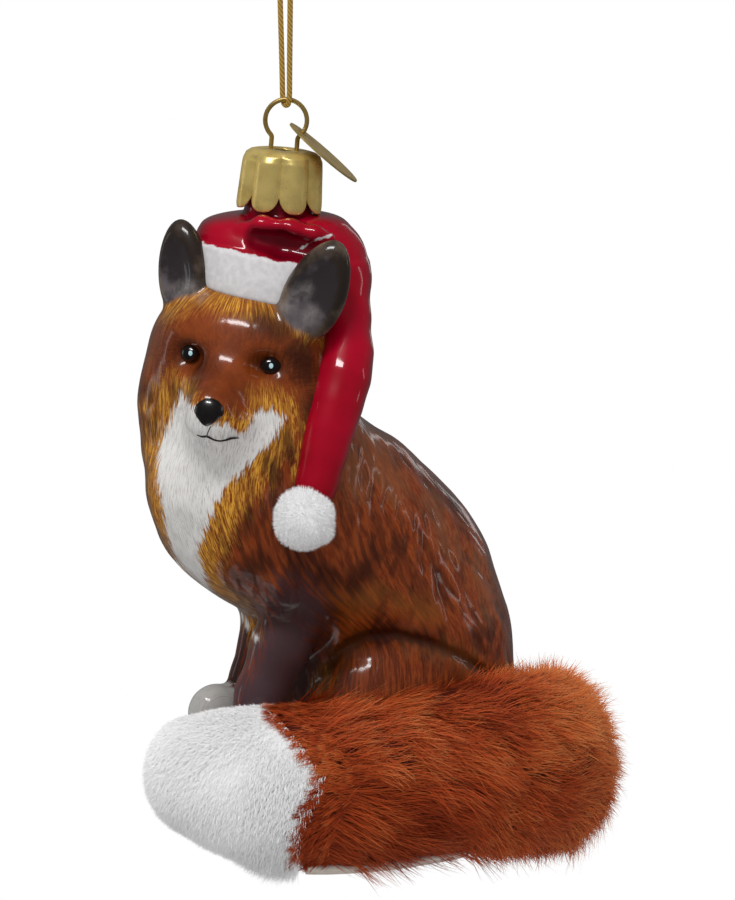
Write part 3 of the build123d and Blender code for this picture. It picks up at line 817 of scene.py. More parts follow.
def makeFox():
    points, quads, normals = fieldMesh(foxField, (-27, -32, -118), (31, 52, -17), 0.36)
    print("fox form", len(points), "points")
    height = carveFur(points, normals, np.random.default_rng(7))
    tallest = furStrokes["tallest"]
    height = np.clip(height, -tallest, tallest) * ramp(foxSmooth(points), 0.0, 2.0)
    facing = normals @ towardViewer
    height = height * np.clip(0.3 + 1.3 * np.abs(facing), 0, 1)
    fold = np.where(facing > 0.05, strokeDistance(inPhoto(points), photoStrokes["fold"]), -9.0)
    height = height - furStrokes["foldDepth"] * np.exp(-(fold / furStrokes["foldWidth"]) ** 2)
    fox = addPiece("foxGlass", points + normals * height[:, None], quads, foxPaint(), "painted_glass",
                   "glass_figure")
    foxZones(fox, points, normals, height)
    print("fox carved")


def foxPaint():
    material, tree, shader = newMaterial("foxPaint", Coat_Weight=0.75, Coat_Roughness=0.14, Coat_IOR=1.5,
                                         Specular_IOR_Level=0.12)
    coat = useGroup(tree, hairStreaks, Space=attribute(tree, "coatSpace", "Vector"), Fineness=1.25)
    faceHair = useGroup(tree, hairStreaks, Space=attribute(tree, "faceSpace", "Vector"), Fineness=1.6)
    place = objectSpace(tree)
    mottle = noiseNode(tree, place, 110.0, 4.0, 0.6)
    fine = noiseNode(tree, place, 420.0, 4.0, 0.65)
    patch = noiseNode(tree, place, 45.0, 2.0, 0.5)
    carved = attribute(tree, "carving")
    clumps = mathNode(tree, "MULTIPLY", coat["Clump"], 0.5)
    wobble = mathNode(tree, "MULTIPLY_ADD", coat["Streak"], 0.5, clumps)

    def painted(name, grow, ragged, soft):
        distance = mathNode(tree, "ADD", attribute(tree, name), grow)
        return useGroup(tree, paintEdge, Distance=distance, Wobble=wobble, Ragged=ragged, Soft=soft)["Mask"]

    def between(value, low, high, first, second):
        return mixColour(tree, rangeNode(tree, value, low, high), first, second)

    face = paintOver(tree, between(mottle, 0.35, 0.65, "faceDark", "face"),
                     (faceHair["Streak"], 0.35, "chestnutLight"))
    ochre = between(coat["Streak"], 0.1, 0.75, "ochreDark", "ochre")
    broken = rangeNode(tree, coat["Clump"], 0.1, 0.75, 1.0, 0.3)
    rim = between(mottle, 0.4, 0.7, "earRim", "earRimLight")
    lining = between(mottle, 0.42, 0.68, "earInside", "earHair")
    base = paintOver(
        tree, "chestnut",
        (coat["Streak"], 0.75, "chestnutLight"),
        (rangeNode(tree, coat["Clump"], 0.15, 0.75), 0.45, "chestnutDark"),
        # Painted shade in the sunk fur strokes and a painted highlight on the raised ones
        (rangeNode(tree, carved, -0.02, -0.16), 0.55, "chestnutDark"),
        (rangeNode(tree, carved, 0.04, 0.19), 0.4, "chestnutLight"),
        (attribute(tree, "face"), 1.0, face),
        # Brushed tints: pale shoulder, gold cheeks and forehead; painted shade in the creases and a painted
        # highlight along the top of the thigh
        (painted("tan", 0.6, 3.0, 2.2), 0.36, "tan"),
        (painted("amber", 0.2, 2.4, 2.0), 0.45, "amber"),
        (painted("gold", 1.0, 4.2, 1.3), broken, ochre),
        (painted("bib", 1.9, 3.4, 1.2), broken, ochre),
        # Painted shade from the dark strokes
        (painted("dark", 0.5, 2.2, 2.0), 0.72, "chestnutDark"),
        # Painted shade along the thigh's fold, over the carved groove
        (painted("fold", 0.9, 0.9, 0.9), 0.6, "chestnutDark"),
        # Painted shade: the paint darkens where the glass turns away from the camera
        (rangeNode(tree, turnedAway(tree), 0.5, 1.0), 0.6, "chestnutDark"),
        (painted("sock", -0.5, 4.2, 2.4), 1.0, between(patch, 0.35, 0.7, "sock", "sockSheen")),
        (painted("bib", 0.0, 1.6, 0.5), 1.0, between(coat["Streak"], 0.0, 0.55, "whiteStroke", "white")),
        (painted("paw", 0.0, 0.8, 0.4), 1.0, "paw"),
        # Ears: dark rim, darker hollow with grey hairs, pale tufts at the foot
        (attribute(tree, "ear"), 1.0, mixColour(tree, painted("earInside", 0.0, 0.6, 0.35), rim, lining)),
        (painted("tuft", 0.2, 0.6, 1.4), rangeNode(tree, fine, 0.3, 0.7, 0.0, 0.34), "tuft"))
    fill(tree, shader, Base_Color=base, Roughness=rangeNode(tree, mottle, 0.2, 0.8, 0.42, 0.6))
    bumpInto(tree, shader, coat["Streak"], 0.07, 0.00012)
    return material


# The hat with its drape, band and the neck of the glass

hatShape = {
    # drop below the ring's top, then left, right, back and front reach
    "drops": (19.4, 20.5, 22.5, 25.0, 28.0, 31.0, 34.0, 37.0),
    "rows": ((-9.5, 6.5, -7.0, 6.0), (-13.0, 9.0, -9.0, 7.5), (-15.2, 11.0, -11.0, 9.0),
             (-15.4, 12.2, -12.0, 10.5), (-15.0, 12.5, -12.5, 11.8), (-14.6, 12.0, -12.5, 12.6),
             (-14.0, 11.5, -12.0, 12.8), (-13.0, 11.0, -11.0, 12.2)),
    "squareness": 2.5,
    # across, toward the viewer, drop and radius along the creases and the hanging end
    "ridge": ((-7.0, 7.2, 21.6, 0.8), (-4.0, 8.4, 20.9, 1.5), (0.8, 9.0, 21.5, 1.6), (5.0, 9.3, 22.2, 1.2),
              (7.6, 8.6, 23.0, 0.8)),
    "dent": ((-4.8, 9.6, 23.0, 1.3), (-0.5, 10.0, 23.9, 1.9), (3.8, 10.6, 25.0, 1.4)),
    "roll": ((4.2, 0.5, 22.0, 1.5), (8.6, 1.2, 23.6, 1.8), (11.2, 1.8, 26.4, 1.8), (12.4, 2.2, 29.2, 1.4)),
    "drape": ((4.8, -1.0, 25.4, 4.0), (8.4, 0.5, 27.6, 4.2), (9.9, 3.0, 31.0, 3.9), (10.1, 6.0, 37.0, 3.7),
              (10.3, 9.5, 42.5, 3.9), (9.7, 12.2, 46.5, 4.0), (8.4, 14.6, 51.0, 3.8), (7.2, 16.3, 55.0, 3.5),
              (6.2, 17.6, 59.0, 3.2), (5.2, 18.6, 63.5, 2.9), (4.8, 19.2, 65.6, 2.5)),
    "seam": ((12.4, 3.4, 31.0, 0.9), (12.5, 6.4, 37.0, 0.8), (12.8, 9.6, 42.5, 0.8), (12.5, 12.4, 46.8, 0.7),
             (10.8, 15.0, 51.6, 0.6)),
    "bandProud": 0.55, "bandHeight": 7.6, "bandEnd": 8.6,
    "strip": ((1.1, (295, 252), (311, 242), (331, 235)),),
    "collar": (16.0, 20.4),
    "bandEdge": ((-16.0, 31.2), (-13.8, 31.7), (-5.0, 33.2), (0.7, 34.4), (6.0, 35.0), (14.0, 35.0)),
    "neckRadius": 5.9, "boreRadius": 5.0, "neckTop": 10.9, "neckFoot": 24.0, "lean": 5.0,
}


def neckPoint(drop):
    return atRing((drop - 3.95) * -math.tan(math.radians(hatShape["lean"])), 0, drop)


def bandField(points):
    # Distance inside the white band, positive in it
    side, drop = points @ acrossPhoto.astype(np.float32), -points[:, 2]
    edge = np.interp(side, *zip(*hatShape["bandEdge"]))
    return np.minimum(edge - drop, drop - (edge - hatShape["bandHeight"]))


def crownField(points):
    side, toward = points @ acrossPhoto.astype(np.float32), points @ towardViewer.astype(np.float32)
    drop = -points[:, 2]
    left, right, back, front = smoothTable(hatShape["drops"], hatShape["rows"], drop).T
    width, depth = (right - left) / 2, (front - back) / 2
    power = hatShape["squareness"]
    away = (np.abs((side - (left + right) / 2) / width) ** power
            + np.abs((toward - (back + front) / 2) / depth) ** power) ** (1 / power)
    form = (away - 1.0) * np.minimum(width, depth) * 0.9
    form = smoothMax(form, hatShape["drops"][0] + 0.4 - drop, 2.0)
    form = smoothMax(form, drop - hatShape["drops"][-1] + 0.6, 1.6)
    return form - hatShape["bandProud"] * np.clip(0.5 + bandField(points) / 0.9, 0, 1)


def hatField(points):
    form = smoothMin(crownField(points), chainField(points, hatShape["ridge"], 1.5), 1.6)
    form = smoothMax(form, -chainField(points, hatShape["dent"], 1.0), 1.6)
    form = smoothMin(form, chainField(points, hatShape["drape"], 3.0), 2.4)
    form = smoothMin(form, chainField(points, hatShape["roll"], 1.0), 0.8)
    form = smoothMin(form, chainField(points, hatShape["seam"], 1.0), 0.8)
    top, foot = neckPoint(hatShape["neckTop"]), neckPoint(hatShape["neckFoot"])
    axis = unit(top - foot)
    neck, bore = [coneField(points, top + axis * 8, foot, hatShape[name], hatShape[name])
                  for name in ("neckRadius", "boreRadius")]
    form = smoothMin(form, smoothMax(neck, (points - top) @ axis, 0.5), 1.2)
    return smoothMax(form, -bore, 0.3)


def makeHat():
    points, quads, _ = fieldMesh(hatField, (-19, -26, -71), (29, 18, -9), 0.36)
    hat = addPiece("hatGlass", points, quads, hatPaint(), "painted_glass", "glass_figure")
    small = points.astype(np.float32)
    toward = points @ towardViewer
    drape = np.minimum(chainField(small, hatShape["drape"], 3.0), chainField(small, hatShape["roll"], 1.0))
    band = np.minimum(bandField(small), drape - 0.2)
    # The band ends on the viewer's side and runs on round the back
    band = np.where(toward > 0.0, np.minimum(band, hatShape["bandEnd"] - points @ acrossPhoto), band)
    strip = strokeDistance(inPhoto(points), hatShape["strip"])
    band = np.maximum(band, np.where(toward > 2.0, strip, -1.0))
    band = np.where(crownField(small) < -2.2, -1.0, band)
    top, foot = [neckPoint(drop) for drop in hatShape["collar"]]
    collar = coneField(small, top, foot, hatShape["neckRadius"], hatShape["neckRadius"])
    store(hat, band=band, shade=np.minimum(chainField(small, hatShape["dent"], 1.0), collar))
    print("hat", len(points), "points")


def hatPaint():
    material, tree, shader = newMaterial("hatPaint", Coat_Roughness=0.08, Coat_IOR=1.5,
                                         Specular_IOR_Level=0.08)
    place = objectSpace(tree)
    cloud, grain = noiseNode(tree, place, 90.0, 3.0, 0.5), noiseNode(tree, place, 900.0, 2.0, 0.5)
    wobble = noiseNode(tree, place, 420.0, 3.0, 0.6)
    frost = mixColour(tree, rangeNode(tree, grain, 0.3, 0.7), "frost", "frostLight")
    band = useGroup(tree, paintEdge, Distance=attribute(tree, "band"), Wobble=wobble, Ragged=1.3,
                    Soft=0.12)["Mask"]
    colour = paintOver(tree, mixColour(tree, rangeNode(tree, cloud, 0.3, 0.7), "hat", "hatLight"),
                       # Painted shade: darker red where the glass turns away from the camera
                       (rangeNode(tree, turnedAway(tree), 0.35, 0.95), 0.75, "hatEdgeShade"),
                       (rangeNode(tree, attribute(tree, "shade"), 1.7, 0.1), 0.62, "hatShade"),
                       (band, 1.0, frost))
    fill(tree, shader, Base_Color=colour, Roughness=mathNode(tree, "MULTIPLY_ADD", band, 0.4, 0.35),
         Coat_Weight=mathNode(tree, "MULTIPLY_ADD", band, -0.7, 0.75))
    bumpInto(tree, shader, mathNode(tree, "MULTIPLY", band, grain), 0.15, 0.0001)
    return material


# Eyes, nose and mouth

faceShape = {
    "eyes": {"right": (-7.15, 10.4, 2.5), "left": (7.15, 10.4, 2.0)},
    "eyeRadii": (1.85, 1.25, 1.55), "eyeTurn": 22.0, "sparkSize": (0.34, 0.46),
    "nose": (0.35, 21.3, -4.8), "noseRadii": (2.75, 2.2, 2.9), "mouthDiameter": 0.42,
    # pixels of the photograph that the mouth and the split of the lip run through
    "mouth": ((197, 435), (202, 437), (207, 436), (212, 439), (219, 441), (226, 440), (232, 438), (239, 438)),
    "lip": ((211, 426), (208, 431), (207, 436)),
}


def domeMesh(centre, radii, axes, rings=20, spokes=32, shape=None):
    fall = np.repeat(np.arange(rings + 1) * math.pi / rings, spokes)
    turn = np.tile(np.arange(spokes) * 2 * math.pi / spokes, rings + 1)
    local = np.stack([np.sin(fall) * np.cos(turn), np.cos(fall), np.sin(fall) * np.sin(turn)], axis=1)
    if shape is not None:
        local = shape(*local.T)
    index = np.arange((rings + 1) * spokes).reshape(rings + 1, spokes)
    return centre + (local * radii) @ axes, gridFaces(index, True)[:, ::-1]


def almond(side, ahead, up):
    return np.stack([side, ahead, up * (1.0 - 0.28 * side ** 2) + 0.06 * side], axis=1)


def noseForm(side, ahead, up):
    return np.stack([side * (1.0 - 0.42 * np.clip(-up, 0, 1)), ahead, up], axis=1)


def makeEyes():
    for name, centre in faceShape["eyes"].items():
        turn = math.radians(faceShape["eyeTurn"]) * (1 if name == "left" else -1)
        across = headFrame[0] * math.cos(turn) - headFrame[1] * math.sin(turn)
        ahead = headFrame[1] * math.cos(turn) + headFrame[0] * math.sin(turn)
        middle = onHead(*centre)
        points, faces = domeMesh(middle, faceShape["eyeRadii"], np.array([across, ahead, headFrame[2]]),
                                 shape=almond)
        eye = addPiece(f"eye_{name}", points, faces, eyePaint(name), "painted_glass", "glass_figure")
        away = points - (middle + viewAxis * 1.2 + acrossPhoto * 0.15 - upward * 0.05)
        away = away - viewAxis * (away @ viewAxis)[:, None]
        width, height = faceShape["sparkSize"]
        size = np.hypot(away @ acrossPhoto / width, away @ photoUp / height)
        store(eye, spark=np.where((points - middle) @ ahead > 0, (1.0 - size) * 0.4, -1.0))


def eyePaint(name):
    material, tree, shader = newMaterial(f"eyePaint_{name}", Roughness=0.2, Coat_Weight=1.0,
                                         Coat_Roughness=0.02, Specular_IOR_Level=0.5)
    mottle = noiseNode(tree, objectSpace(tree), 1500.0, 2.0)
    mask = useGroup(tree, paintEdge, Distance=attribute(tree, "spark"), Wobble=mottle, Ragged=0.1,
                    Soft=0.05)["Mask"]
    fill(tree, shader, Base_Color=mixColour(tree, mask, mixColour(tree, mottle, "eye", "eyeLight"), "spark"))
    return material


def makeNose():
    points, faces = domeMesh(onHead(*faceShape["nose"]), faceShape["noseRadii"], headFrame, 24, 36, noseForm)
    material = mottledMaterial("nosePaint", "nose", "noseLight", 1200.0, bump=(0.2, 0.00006), Roughness=0.32,
                               Coat_Weight=0.9, Coat_Roughness=0.08)
    addPiece("foxNose", points, faces, material, "painted_glass", "glass_figure")


def underPixels(field, pixels, near=580.0, far=660.0, steps=320):
    # Where the sight lines of the camera first meet a field, in millimetres
    pixels = np.asarray(pixels, dtype=float)
    right = (pixels[:, 0] - photo["width"] / 2) * photo["millimetresPerPixel"]
    rise = (photo["height"] / 2 - pixels[:, 1]) * photo["millimetresPerPixel"]
    aim = unitRows(right[:, None] * acrossPhoto + rise[:, None] * photoUp - viewAxis * photo["distance"])
    places = eyePoint + aim[:, None, :] * np.linspace(near, far, steps)[None, :, None]
    values = field(places.reshape(-1, 3).astype(np.float32)).reshape(len(pixels), steps)
    return places[np.arange(len(pixels)), np.argmax(values < 0, axis=1)]


def makeMouth():
    material = mottledMaterial("mouthPaint", "lips", "lipsLight", 900.0, Roughness=0.4, Coat_Weight=0.5)
    for name in ("mouth", "lip"):
        line = underPixels(foxField, faceShape[name]) + viewAxis * 0.22
        stroke, spline = addTube(f"fox_{name}", inMetres(line), faceShape["mouthDiameter"], 3, material)
        for index, point in enumerate(spline.points):
            point.radius = 0.4 if index in (0, len(line) - 1) or name == "lip" else 1.0
        attach(stroke, "figure", "painted_glass", "glass_figure")


# Plush: strands as tapered ribbons

def lumps(points, scale, seed):
    # Cheap smooth noise from a few sine waves
    random = np.random.default_rng(seed)
    total = np.zeros(len(points))
    for _ in range(7):
        direction = random.normal(size=3)
        total += np.sin(points @ direction / scale + random.uniform(0, 6.28))
    return total / 7 ** 0.5


def addStrands(name, roots, directions, normals, lengths, widths, droop, tones, material, slot, node,
               curls=0.0):
    shares = np.linspace(0, 1, 4)
    across = unitRows(np.cross(directions, normals))
    points = np.zeros((len(roots), len(shares), 2, 3))
    for row, share in enumerate(shares):
        middle = roots + directions * (lengths * share)[:, None] + droop * (lengths * share ** 2)[:, None]
        middle = middle + across * (curls * lengths * share ** 2)[:, None]
        half = across * (widths * 0.5 * (1.0 - share ** 1.6 * 0.92))[:, None]
        points[:, row, 0] = middle - half
        points[:, row, 1] = middle + half
    index = np.arange(points.size // 3).reshape(len(roots), len(shares), 2)
    faces = np.stack([index[:, :-1, 0], index[:, :-1, 1], index[:, 1:, 1], index[:, 1:, 0]], axis=-1)
    piece = addPiece(name, points.reshape(-1, 3), faces.reshape(-1, 4), material, slot, node)
    store(piece, along=np.tile(np.repeat(shares, 2), len(roots)), tone=np.repeat(tones, 2 * len(shares)))


tailShape = {
    "centre": (-17.0, 0.0, 113.0), "reach": 31.5, "width": 25.0, "height": 32.0,
    # turn in degrees, reach and girth as shares
    "rows": ((-46.0, 0.86, 0.22), (-35.0, 0.90, 0.66), (-14.0, 0.98, 0.98), (12.0, 1.00, 1.05),
             (38.0, 1.00, 1.03), (64.0, 1.00, 1.00), (88.0, 1.07, 1.00), (106.0, 1.19, 0.98),
             (119.0, 1.31, 0.92), (130.0, 1.39, 0.77), (138.0, 1.45, 0.54), (142.0, 1.46, 0.20)),
    # turn, and how far the tail hangs below its centre there
    "falls": ((-46.0, 12.0), (-35.0, 11.4), (-14.0, 9.8), (12.0, 6.0), (38.0, 1.6), (64.0, 0.5), (88.0, 0.9),
              (106.0, 1.0), (142.0, -0.8)),
    # height round the tail, from -1 below to 1 on top, and the turn that the seam has there
    "seam": ((-1.0, 108.0), (-0.4, 108.5), (-0.1, 107.0), (0.1, 104.5), (0.35, 103.0), (0.6, 106.0),
             (1.0, 113.5)),
    "furDepth": 3.4, "bareTurns": (64.0, 108.0), "bareShare": 0.06,
    # the backing cloth lies under the tail, between these angles round it and these turns along it
    "backing": (-124.0, -50.0), "backingTurns": (24.0, 106.5), "backingThick": 0.9, "backingDepth": 1.6,
    # how deep the cloth lies before it comes out from under the fur, and over how many degrees it does
    "backingSunk": (2.6, 14.0),
}


def tailLine(turns):
    table = np.array(tailShape["rows"])
    reach, girth = smoothTable(table[:, 0], table[:, 1:], turns).T
    angle = np.radians(turns)
    fall = np.interp(turns, *zip(*tailShape["falls"]))
    out = (np.cos(angle) * reach)[:, None] * acrossPhoto + (np.sin(angle) * reach)[:, None] * towardViewer
    middle = atFox(*tailShape["centre"]) + out * tailShape["reach"] - fall[:, None] * upward
    return middle, np.clip(girth, 0.05, 1.2)


def tailSurface(turns, around, inset):
    # around is 0 at the outer side and rises through the top
    middle, girth = tailLine(turns)
    along = unitRows((tailLine(turns + 0.5)[0] - middle) * np.array([1, 1, 0]))
    outward = np.cross(along, upward)
    halfWidth = np.maximum(tailShape["width"] * girth / 2 - inset, 0.4)[:, None]
    halfHeight = np.maximum(tailShape["height"] * girth / 2 - inset, 0.5)[:, None]
    cosine, sine = np.cos(around)[:, None], np.sin(around)[:, None]
    point = middle + outward * cosine * halfWidth + upward * sine * halfHeight
    return point, unitRows(outward * cosine / halfWidth + upward * sine / halfHeight), along


def seamAt(around):
    # The seam between brown and white notches into the brown at the outer side
    return np.interp(np.sin(around), *zip(*tailShape["seam"]))


def addFurBase(name, firstTurn, lastTurn, inset, lumpHeight, seed, material, slot, *nodes):
    steps, spokes = 90, 96
    around = np.arange(spokes) * 2 * math.pi / spokes
    first, last = firstTurn(around), lastTurn(around)
    turns = (first + (last - first) * np.linspace(0, 1, steps)[:, None]).ravel()
    points, normals, _ = tailSurface(turns, np.tile(around, steps), inset)
    points = points + normals * (lumps(points, 3.2, seed) * lumpHeight)[:, None]
    index = np.arange(steps * spokes).reshape(steps, spokes)
    faces = [gridFaces(index, True)]
    for end in (index[0][::-1], index[-1]):
        faces.append(np.stack([end[::2], np.roll(end, -1)[::2], np.roll(end, -2)[::2],
                               np.full(spokes // 2, len(points))], axis=-1))
        points = np.vstack([points, points[end].mean(axis=0)])
    piece = addPiece(name, points, np.vstack(faces), material, slot, *nodes)
    # The base under the strands gets the strands' root colour, with its painted shade
    store(piece, along=np.full(len(points), 0.05), tone=lumps(points, 4.0, seed + 1) * 0.3 + 0.3)


def tailFlow(around, turns, points, normals, along, forward):
    # The brown pile is brushed away from the tip and swirls a little, and the fringe lies the other way
    lower = np.clip(-np.sin(around), 0, 1)[:, None]
    level = lower * ramp(turns, 50.0, 64.0)[:, None]
    swirl = lumps(points, 7.0, 11)[:, None]
    if forward:
        flow = along * 0.8 - upward * (0.35 + 0.5 * swirl)
    else:
        flow = -along * (0.95 - 0.30 * lower) - upward * (0.20 + 0.50 * swirl + 0.35 * lower) * (1 - level)
    return unitRows(inSurface(flow, normals))


def brownFur():
    material, tree, shader = newMaterial("brownFur", Specular_IOR_Level=0.12)
    along, tone = attribute(tree, "along"), attribute(tree, "tone")
    tinted = paintOver(tree, "furRoot", (rangeNode(tree, tone, 0.1, 0.5), 1.0, "furDark"),
                       (rangeNode(tree, tone, 0.4, 0.8), 1.0, "fur"),
                       (rangeNode(tree, tone, 0.75, 1.05), 1.0, "furLight"))
    tipped = mathNode(tree, "MULTIPLY", rangeNode(tree, along, 0.7, 1.0), rangeNode(tree, tone, 0.55, 1.0))
    # Painted shade: each strand darkens toward its root, deep in the pile
    colour = paintOver(tree, "furRoot", (rangeNode(tree, along, 0.0, 0.75), 1.0, tinted),
                       (tipped, 0.6, "furTip"))
    grain = noiseNode(tree, objectSpace(tree), 700.0)
    fill(tree, shader, Base_Color=colour, Roughness=rangeNode(tree, grain, 0.2, 0.8, 0.5, 0.75))
    return material


furLayers = {
    # strands, depth of their roots, length in millimetres, lift in radians and tone
    "under": {"count": 32000, "sunk": 0.6, "length": 7.6, "lift": 0.34, "tone": -0.06},
    "middle": {"count": 32000, "sunk": 0.4, "length": 8.5, "lift": 0.36, "tone": 0.01},
    "outer": {"count": 32000, "sunk": 0.2, "length": 9.5, "lift": 0.38, "tone": 0.08},
    # the fringe keeps within a band of degrees and gathers toward the seam
    "seam": {"count": 15000, "sunk": 1.5, "length": 3.0, "lift": 0.30, "tone": 0.0, "band": 9.0,
             "gather": 1.8},
    "clumps": 700,
}


def makeTailFur():
    fur = brownFur()
    root = tailShape["rows"][0][0]
    addFurBase("tailFurBase", lambda around: root + 1.0 + 0 * around, lambda around: seamAt(around) + 0.2,
               tailShape["furDepth"] - 1.2, 0.5, 3, fur, "brown_fur", "tail_fur", "tail_stuffing")
    random = np.random.default_rng(21)
    for layer in ("under", "middle", "outer", "seam"):
        addFurLayer(layer, root, fur, random)
    print("tail fur")


def addFurLayer(layer, root, fur, random):
    settings, clumps = furLayers[layer], furLayers["clumps"]
    count = settings["count"] // 1
    around = random.uniform(-math.pi, math.pi, count)
    reach = settings.get("band", seamAt(around) - root - 0.5)
    turns = seamAt(around) - 0.2 - reach * random.uniform(0, 1, count) ** settings.get("gather", 1.0)
    # Nearly bare along the backing, and shorter just above it near the seam
    low, high = np.radians(tailShape["backing"])
    start, end = tailShape["bareTurns"]
    onBacking = (around > low) & (around < high) & (turns > start) & (turns < end)
    keep = ~onBacking | (random.uniform(0, 1, count) < tailShape["bareShare"])
    around, turns = around[keep], turns[keep]
    count = len(turns)
    roots, normals, along = tailSurface(turns, around, tailShape["furDepth"] - settings["sunk"])
    flow = tailFlow(around, turns, roots, normals, along, layer == "seam")
    # Strands gather in clumps that share a tone, a lift and a turn
    centres = random.integers(0, count, clumps)
    tree = kdtree.KDTree(clumps)
    for index, centre in enumerate(centres):
        tree.insert(roots[centre], index)
    tree.balance()
    nearest = np.array([tree.find(place)[1] for place in roots])
    clumpTone, clumpLift, clumpTurn = [random.normal(0, spread, clumps)[nearest]
                                       for spread in (0.08, 0.10, 0.24)]
    flow = swing(flow, np.cross(normals, flow), clumpTurn + random.normal(0, 0.13, count))
    lift = settings["lift"] + clumpLift + random.normal(0, 0.07, count)
    directions = swing(flow, normals, lift + 0.22 * ramp(-turns, -26.0, 4.0))
    lengths = settings["length"] * random.uniform(0.7, 1.15, count)
    lengths = lengths * random.uniform(0.78, 1.22, clumps)[nearest]
    lowEdge = np.clip(1.6 - np.abs(around - high) / 0.45, 0, 1) * ramp(turns, 60.0, 69.0)
    lengths = lengths * (1 - 0.8 * lowEdge)
    inward = inSurface((roots[centres[nearest]] - roots) * 0.45, normals)
    droop = inward / lengths[:, None] - normals * 0.16 - upward * 0.05
    widths = random.uniform(0.13, 0.24, count)
    curls = random.normal(0, 0.08, count)
    tones = 0.56 + lumps(roots, 6.0, 17) * 0.15 + clumpTone + random.normal(0, 0.09, count) + settings["tone"]
    # Painted light: strands on top of the tail are lighter and those underneath darker; strands are also
    # lighter over the first part of the tail, from its root
    tones = tones + 0.14 * np.sin(around) + 0.42 * ramp(-turns, -58.0, -14.0)
    addStrands(f"tailFur_{layer}", roots, directions, normals, lengths, widths, droop, tones, fur,
               "brown_fur", "tail_fur", curls)


def makeBacking():
    # A woven band under the tail, whose front edge shows below the fur
    steps, spokes = 120, 24
    turns = np.linspace(*tailShape["backingTurns"], steps)
    around = np.tile(np.linspace(*np.radians(tailShape["backing"]), spokes), steps)
    depth, fade = tailShape["backingSunk"]
    bare = tailShape["bareTurns"][0]
    sunk = np.repeat(depth * ramp(-turns, -bare, fade - bare), spokes)
    turns = np.repeat(turns, spokes)
    points = np.vstack([tailSurface(turns, around, tailShape["backingDepth"] - thick + sunk)[0]
                        for thick in (tailShape["backingThick"], 0.0)])
    outer, inner = np.arange(2 * steps * spokes).reshape(2, steps, spokes)
    faces = [gridFaces(outer)[:, ::-1], gridFaces(inner)]
    for first, second in ((inner[:, 0], outer[:, 0]), (outer[:, -1], inner[:, -1]), (outer[0], inner[0]),
                          (inner[-1], outer[-1])):
        faces.append(gridFaces(np.stack([first, second])))
    cloth = mottledMaterial("backingCloth", "cloth", "clothLight", 900.0, bump=(0.3, 0.0001), Roughness=0.9,
                            Specular_IOR_Level=0.15)
    addPiece("tailBacking", points, np.vstack(faces), cloth, "backing_cloth", "tail_backing")
    print("backing")


def whitePlush(name, sheen):
    material, tree, shader = newMaterial(name, Roughness=0.8, Specular_IOR_Level=0.12, Sheen_Weight=sheen)
    colour = mixColour(tree, rangeNode(tree, attribute(tree, "tone"), 0.2, 0.9), "plush", "plushLight")
    # Painted shade: the strands turn greyer toward their roots
    root = mathNode(tree, "MULTIPLY_ADD", rangeNode(tree, attribute(tree, "along"), 0.0, 0.6), -0.1, 0.1)
    fill(tree, shader, Base_Color=mixColour(tree, root, colour, "plushRootShade"))
    bumpInto(tree, shader, noiseNode(tree, objectSpace(tree), 1400.0), 0.3, 0.0002)
    return material


tipStrands = {"count": 32000, "draftCount": 8000, "sunk": 2.1, "lift": 0.85, "length": 1.8, "fringe": 5.0}


def makeTipFur():
    plush = whitePlush("tipPlush", 0.05)
    end = tailShape["rows"][-1][0]
    addFurBase("tipFurBase", lambda around: seamAt(around) - 0.4, lambda around: end - 0.1 + 0 * around,
               1.8, 0.3, 5, plush, "white_plush", "tail_tip_fur")
    random = np.random.default_rng(23)
    for layer in ("under", "outer"):
        addTipLayer(layer, end, plush, random)
    print("tip fur")


def addTipLayer(layer, end, plush, random):
    count = tipStrands["count"]
    around = random.uniform(0, 2 * math.pi, count)
    turns = seamAt(around) + (end - seamAt(around)) * random.uniform(0, 1, count)
    roots, normals, along = tailSurface(turns, around, tipStrands["sunk"])
    flow = unitRows(inSurface(along * 0.35 - upward * 0.6, normals))
    flow = swing(flow, np.cross(normals, flow), random.normal(0, 0.5, count))
    directions = swing(flow, normals, tipStrands["lift"] + random.normal(0, 0.2, count))
    # The strands below are longest near the seam
    fringe = np.clip(-np.sin(around) - 0.7, 0, 0.3) * ramp(-turns, -122.0, -114.0)
    lengths = tipStrands["length"] * random.uniform(0.7, 1.2, count) * (1 + tipStrands["fringe"] * fringe)
    widths = random.uniform(0.10, 0.16, count)
    tones = 0.7 + random.normal(0, 0.08, count)
    addStrands(f"tipFur_{layer}", roots, directions, normals, lengths, widths, -normals * 0.3 - upward * 0.15,
               tones, plush, "white_plush", "tail_tip_fur")


pompomShape = {"centre": (3.2, 22.4, 68.6), "radius": 5.85, "lumps": 0.25, "count": 26000, "draftCount": 8000}


def pompomRadius(normals, inset):
    return (pompomShape["radius"] - inset + lumps(normals * 5, 1.6, 9) * pompomShape["lumps"])[:, None]


def makePompom():
    plush = whitePlush("pompomPlush", 0.5)
    centre = atRing(*pompomShape["centre"])
    ball, faces = domeMesh(np.zeros(3), (1, 1, 1), np.eye(3), 40, 60)
    base = addPiece("pompomBase", centre + ball * pompomRadius(ball, 0.9), faces, plush, "white_plush",
                    "hat_pompom")
    store(base, along=np.full(len(ball), 0.3), tone=np.full(len(ball), 0.5))
    random = np.random.default_rng(31)
    count = pompomShape["count"]
    normals = unitRows(random.normal(size=(count, 3)))
    directions = unitRows(normals * 0.6 + random.normal(0, 0.9, (count, 3)))
    inwards = np.sum(directions * normals, axis=1)[:, None] < 0.1
    directions = np.where(inwards, normals, directions)
    lengths = random.uniform(0.8, 1.3, count)
    widths = random.uniform(0.07, 0.11, count)
    tones = 0.6 + random.normal(0, 0.15, count)
    roots = centre + normals * pompomRadius(normals, 1.1)
    addStrands("pompomFur", roots, directions, normals, lengths, widths, -normals * 0.2, tones, plush,
               "white_plush", "hat_pompom")
    print("pompom")


# Metal, cord and the pieces carried over from the CAD

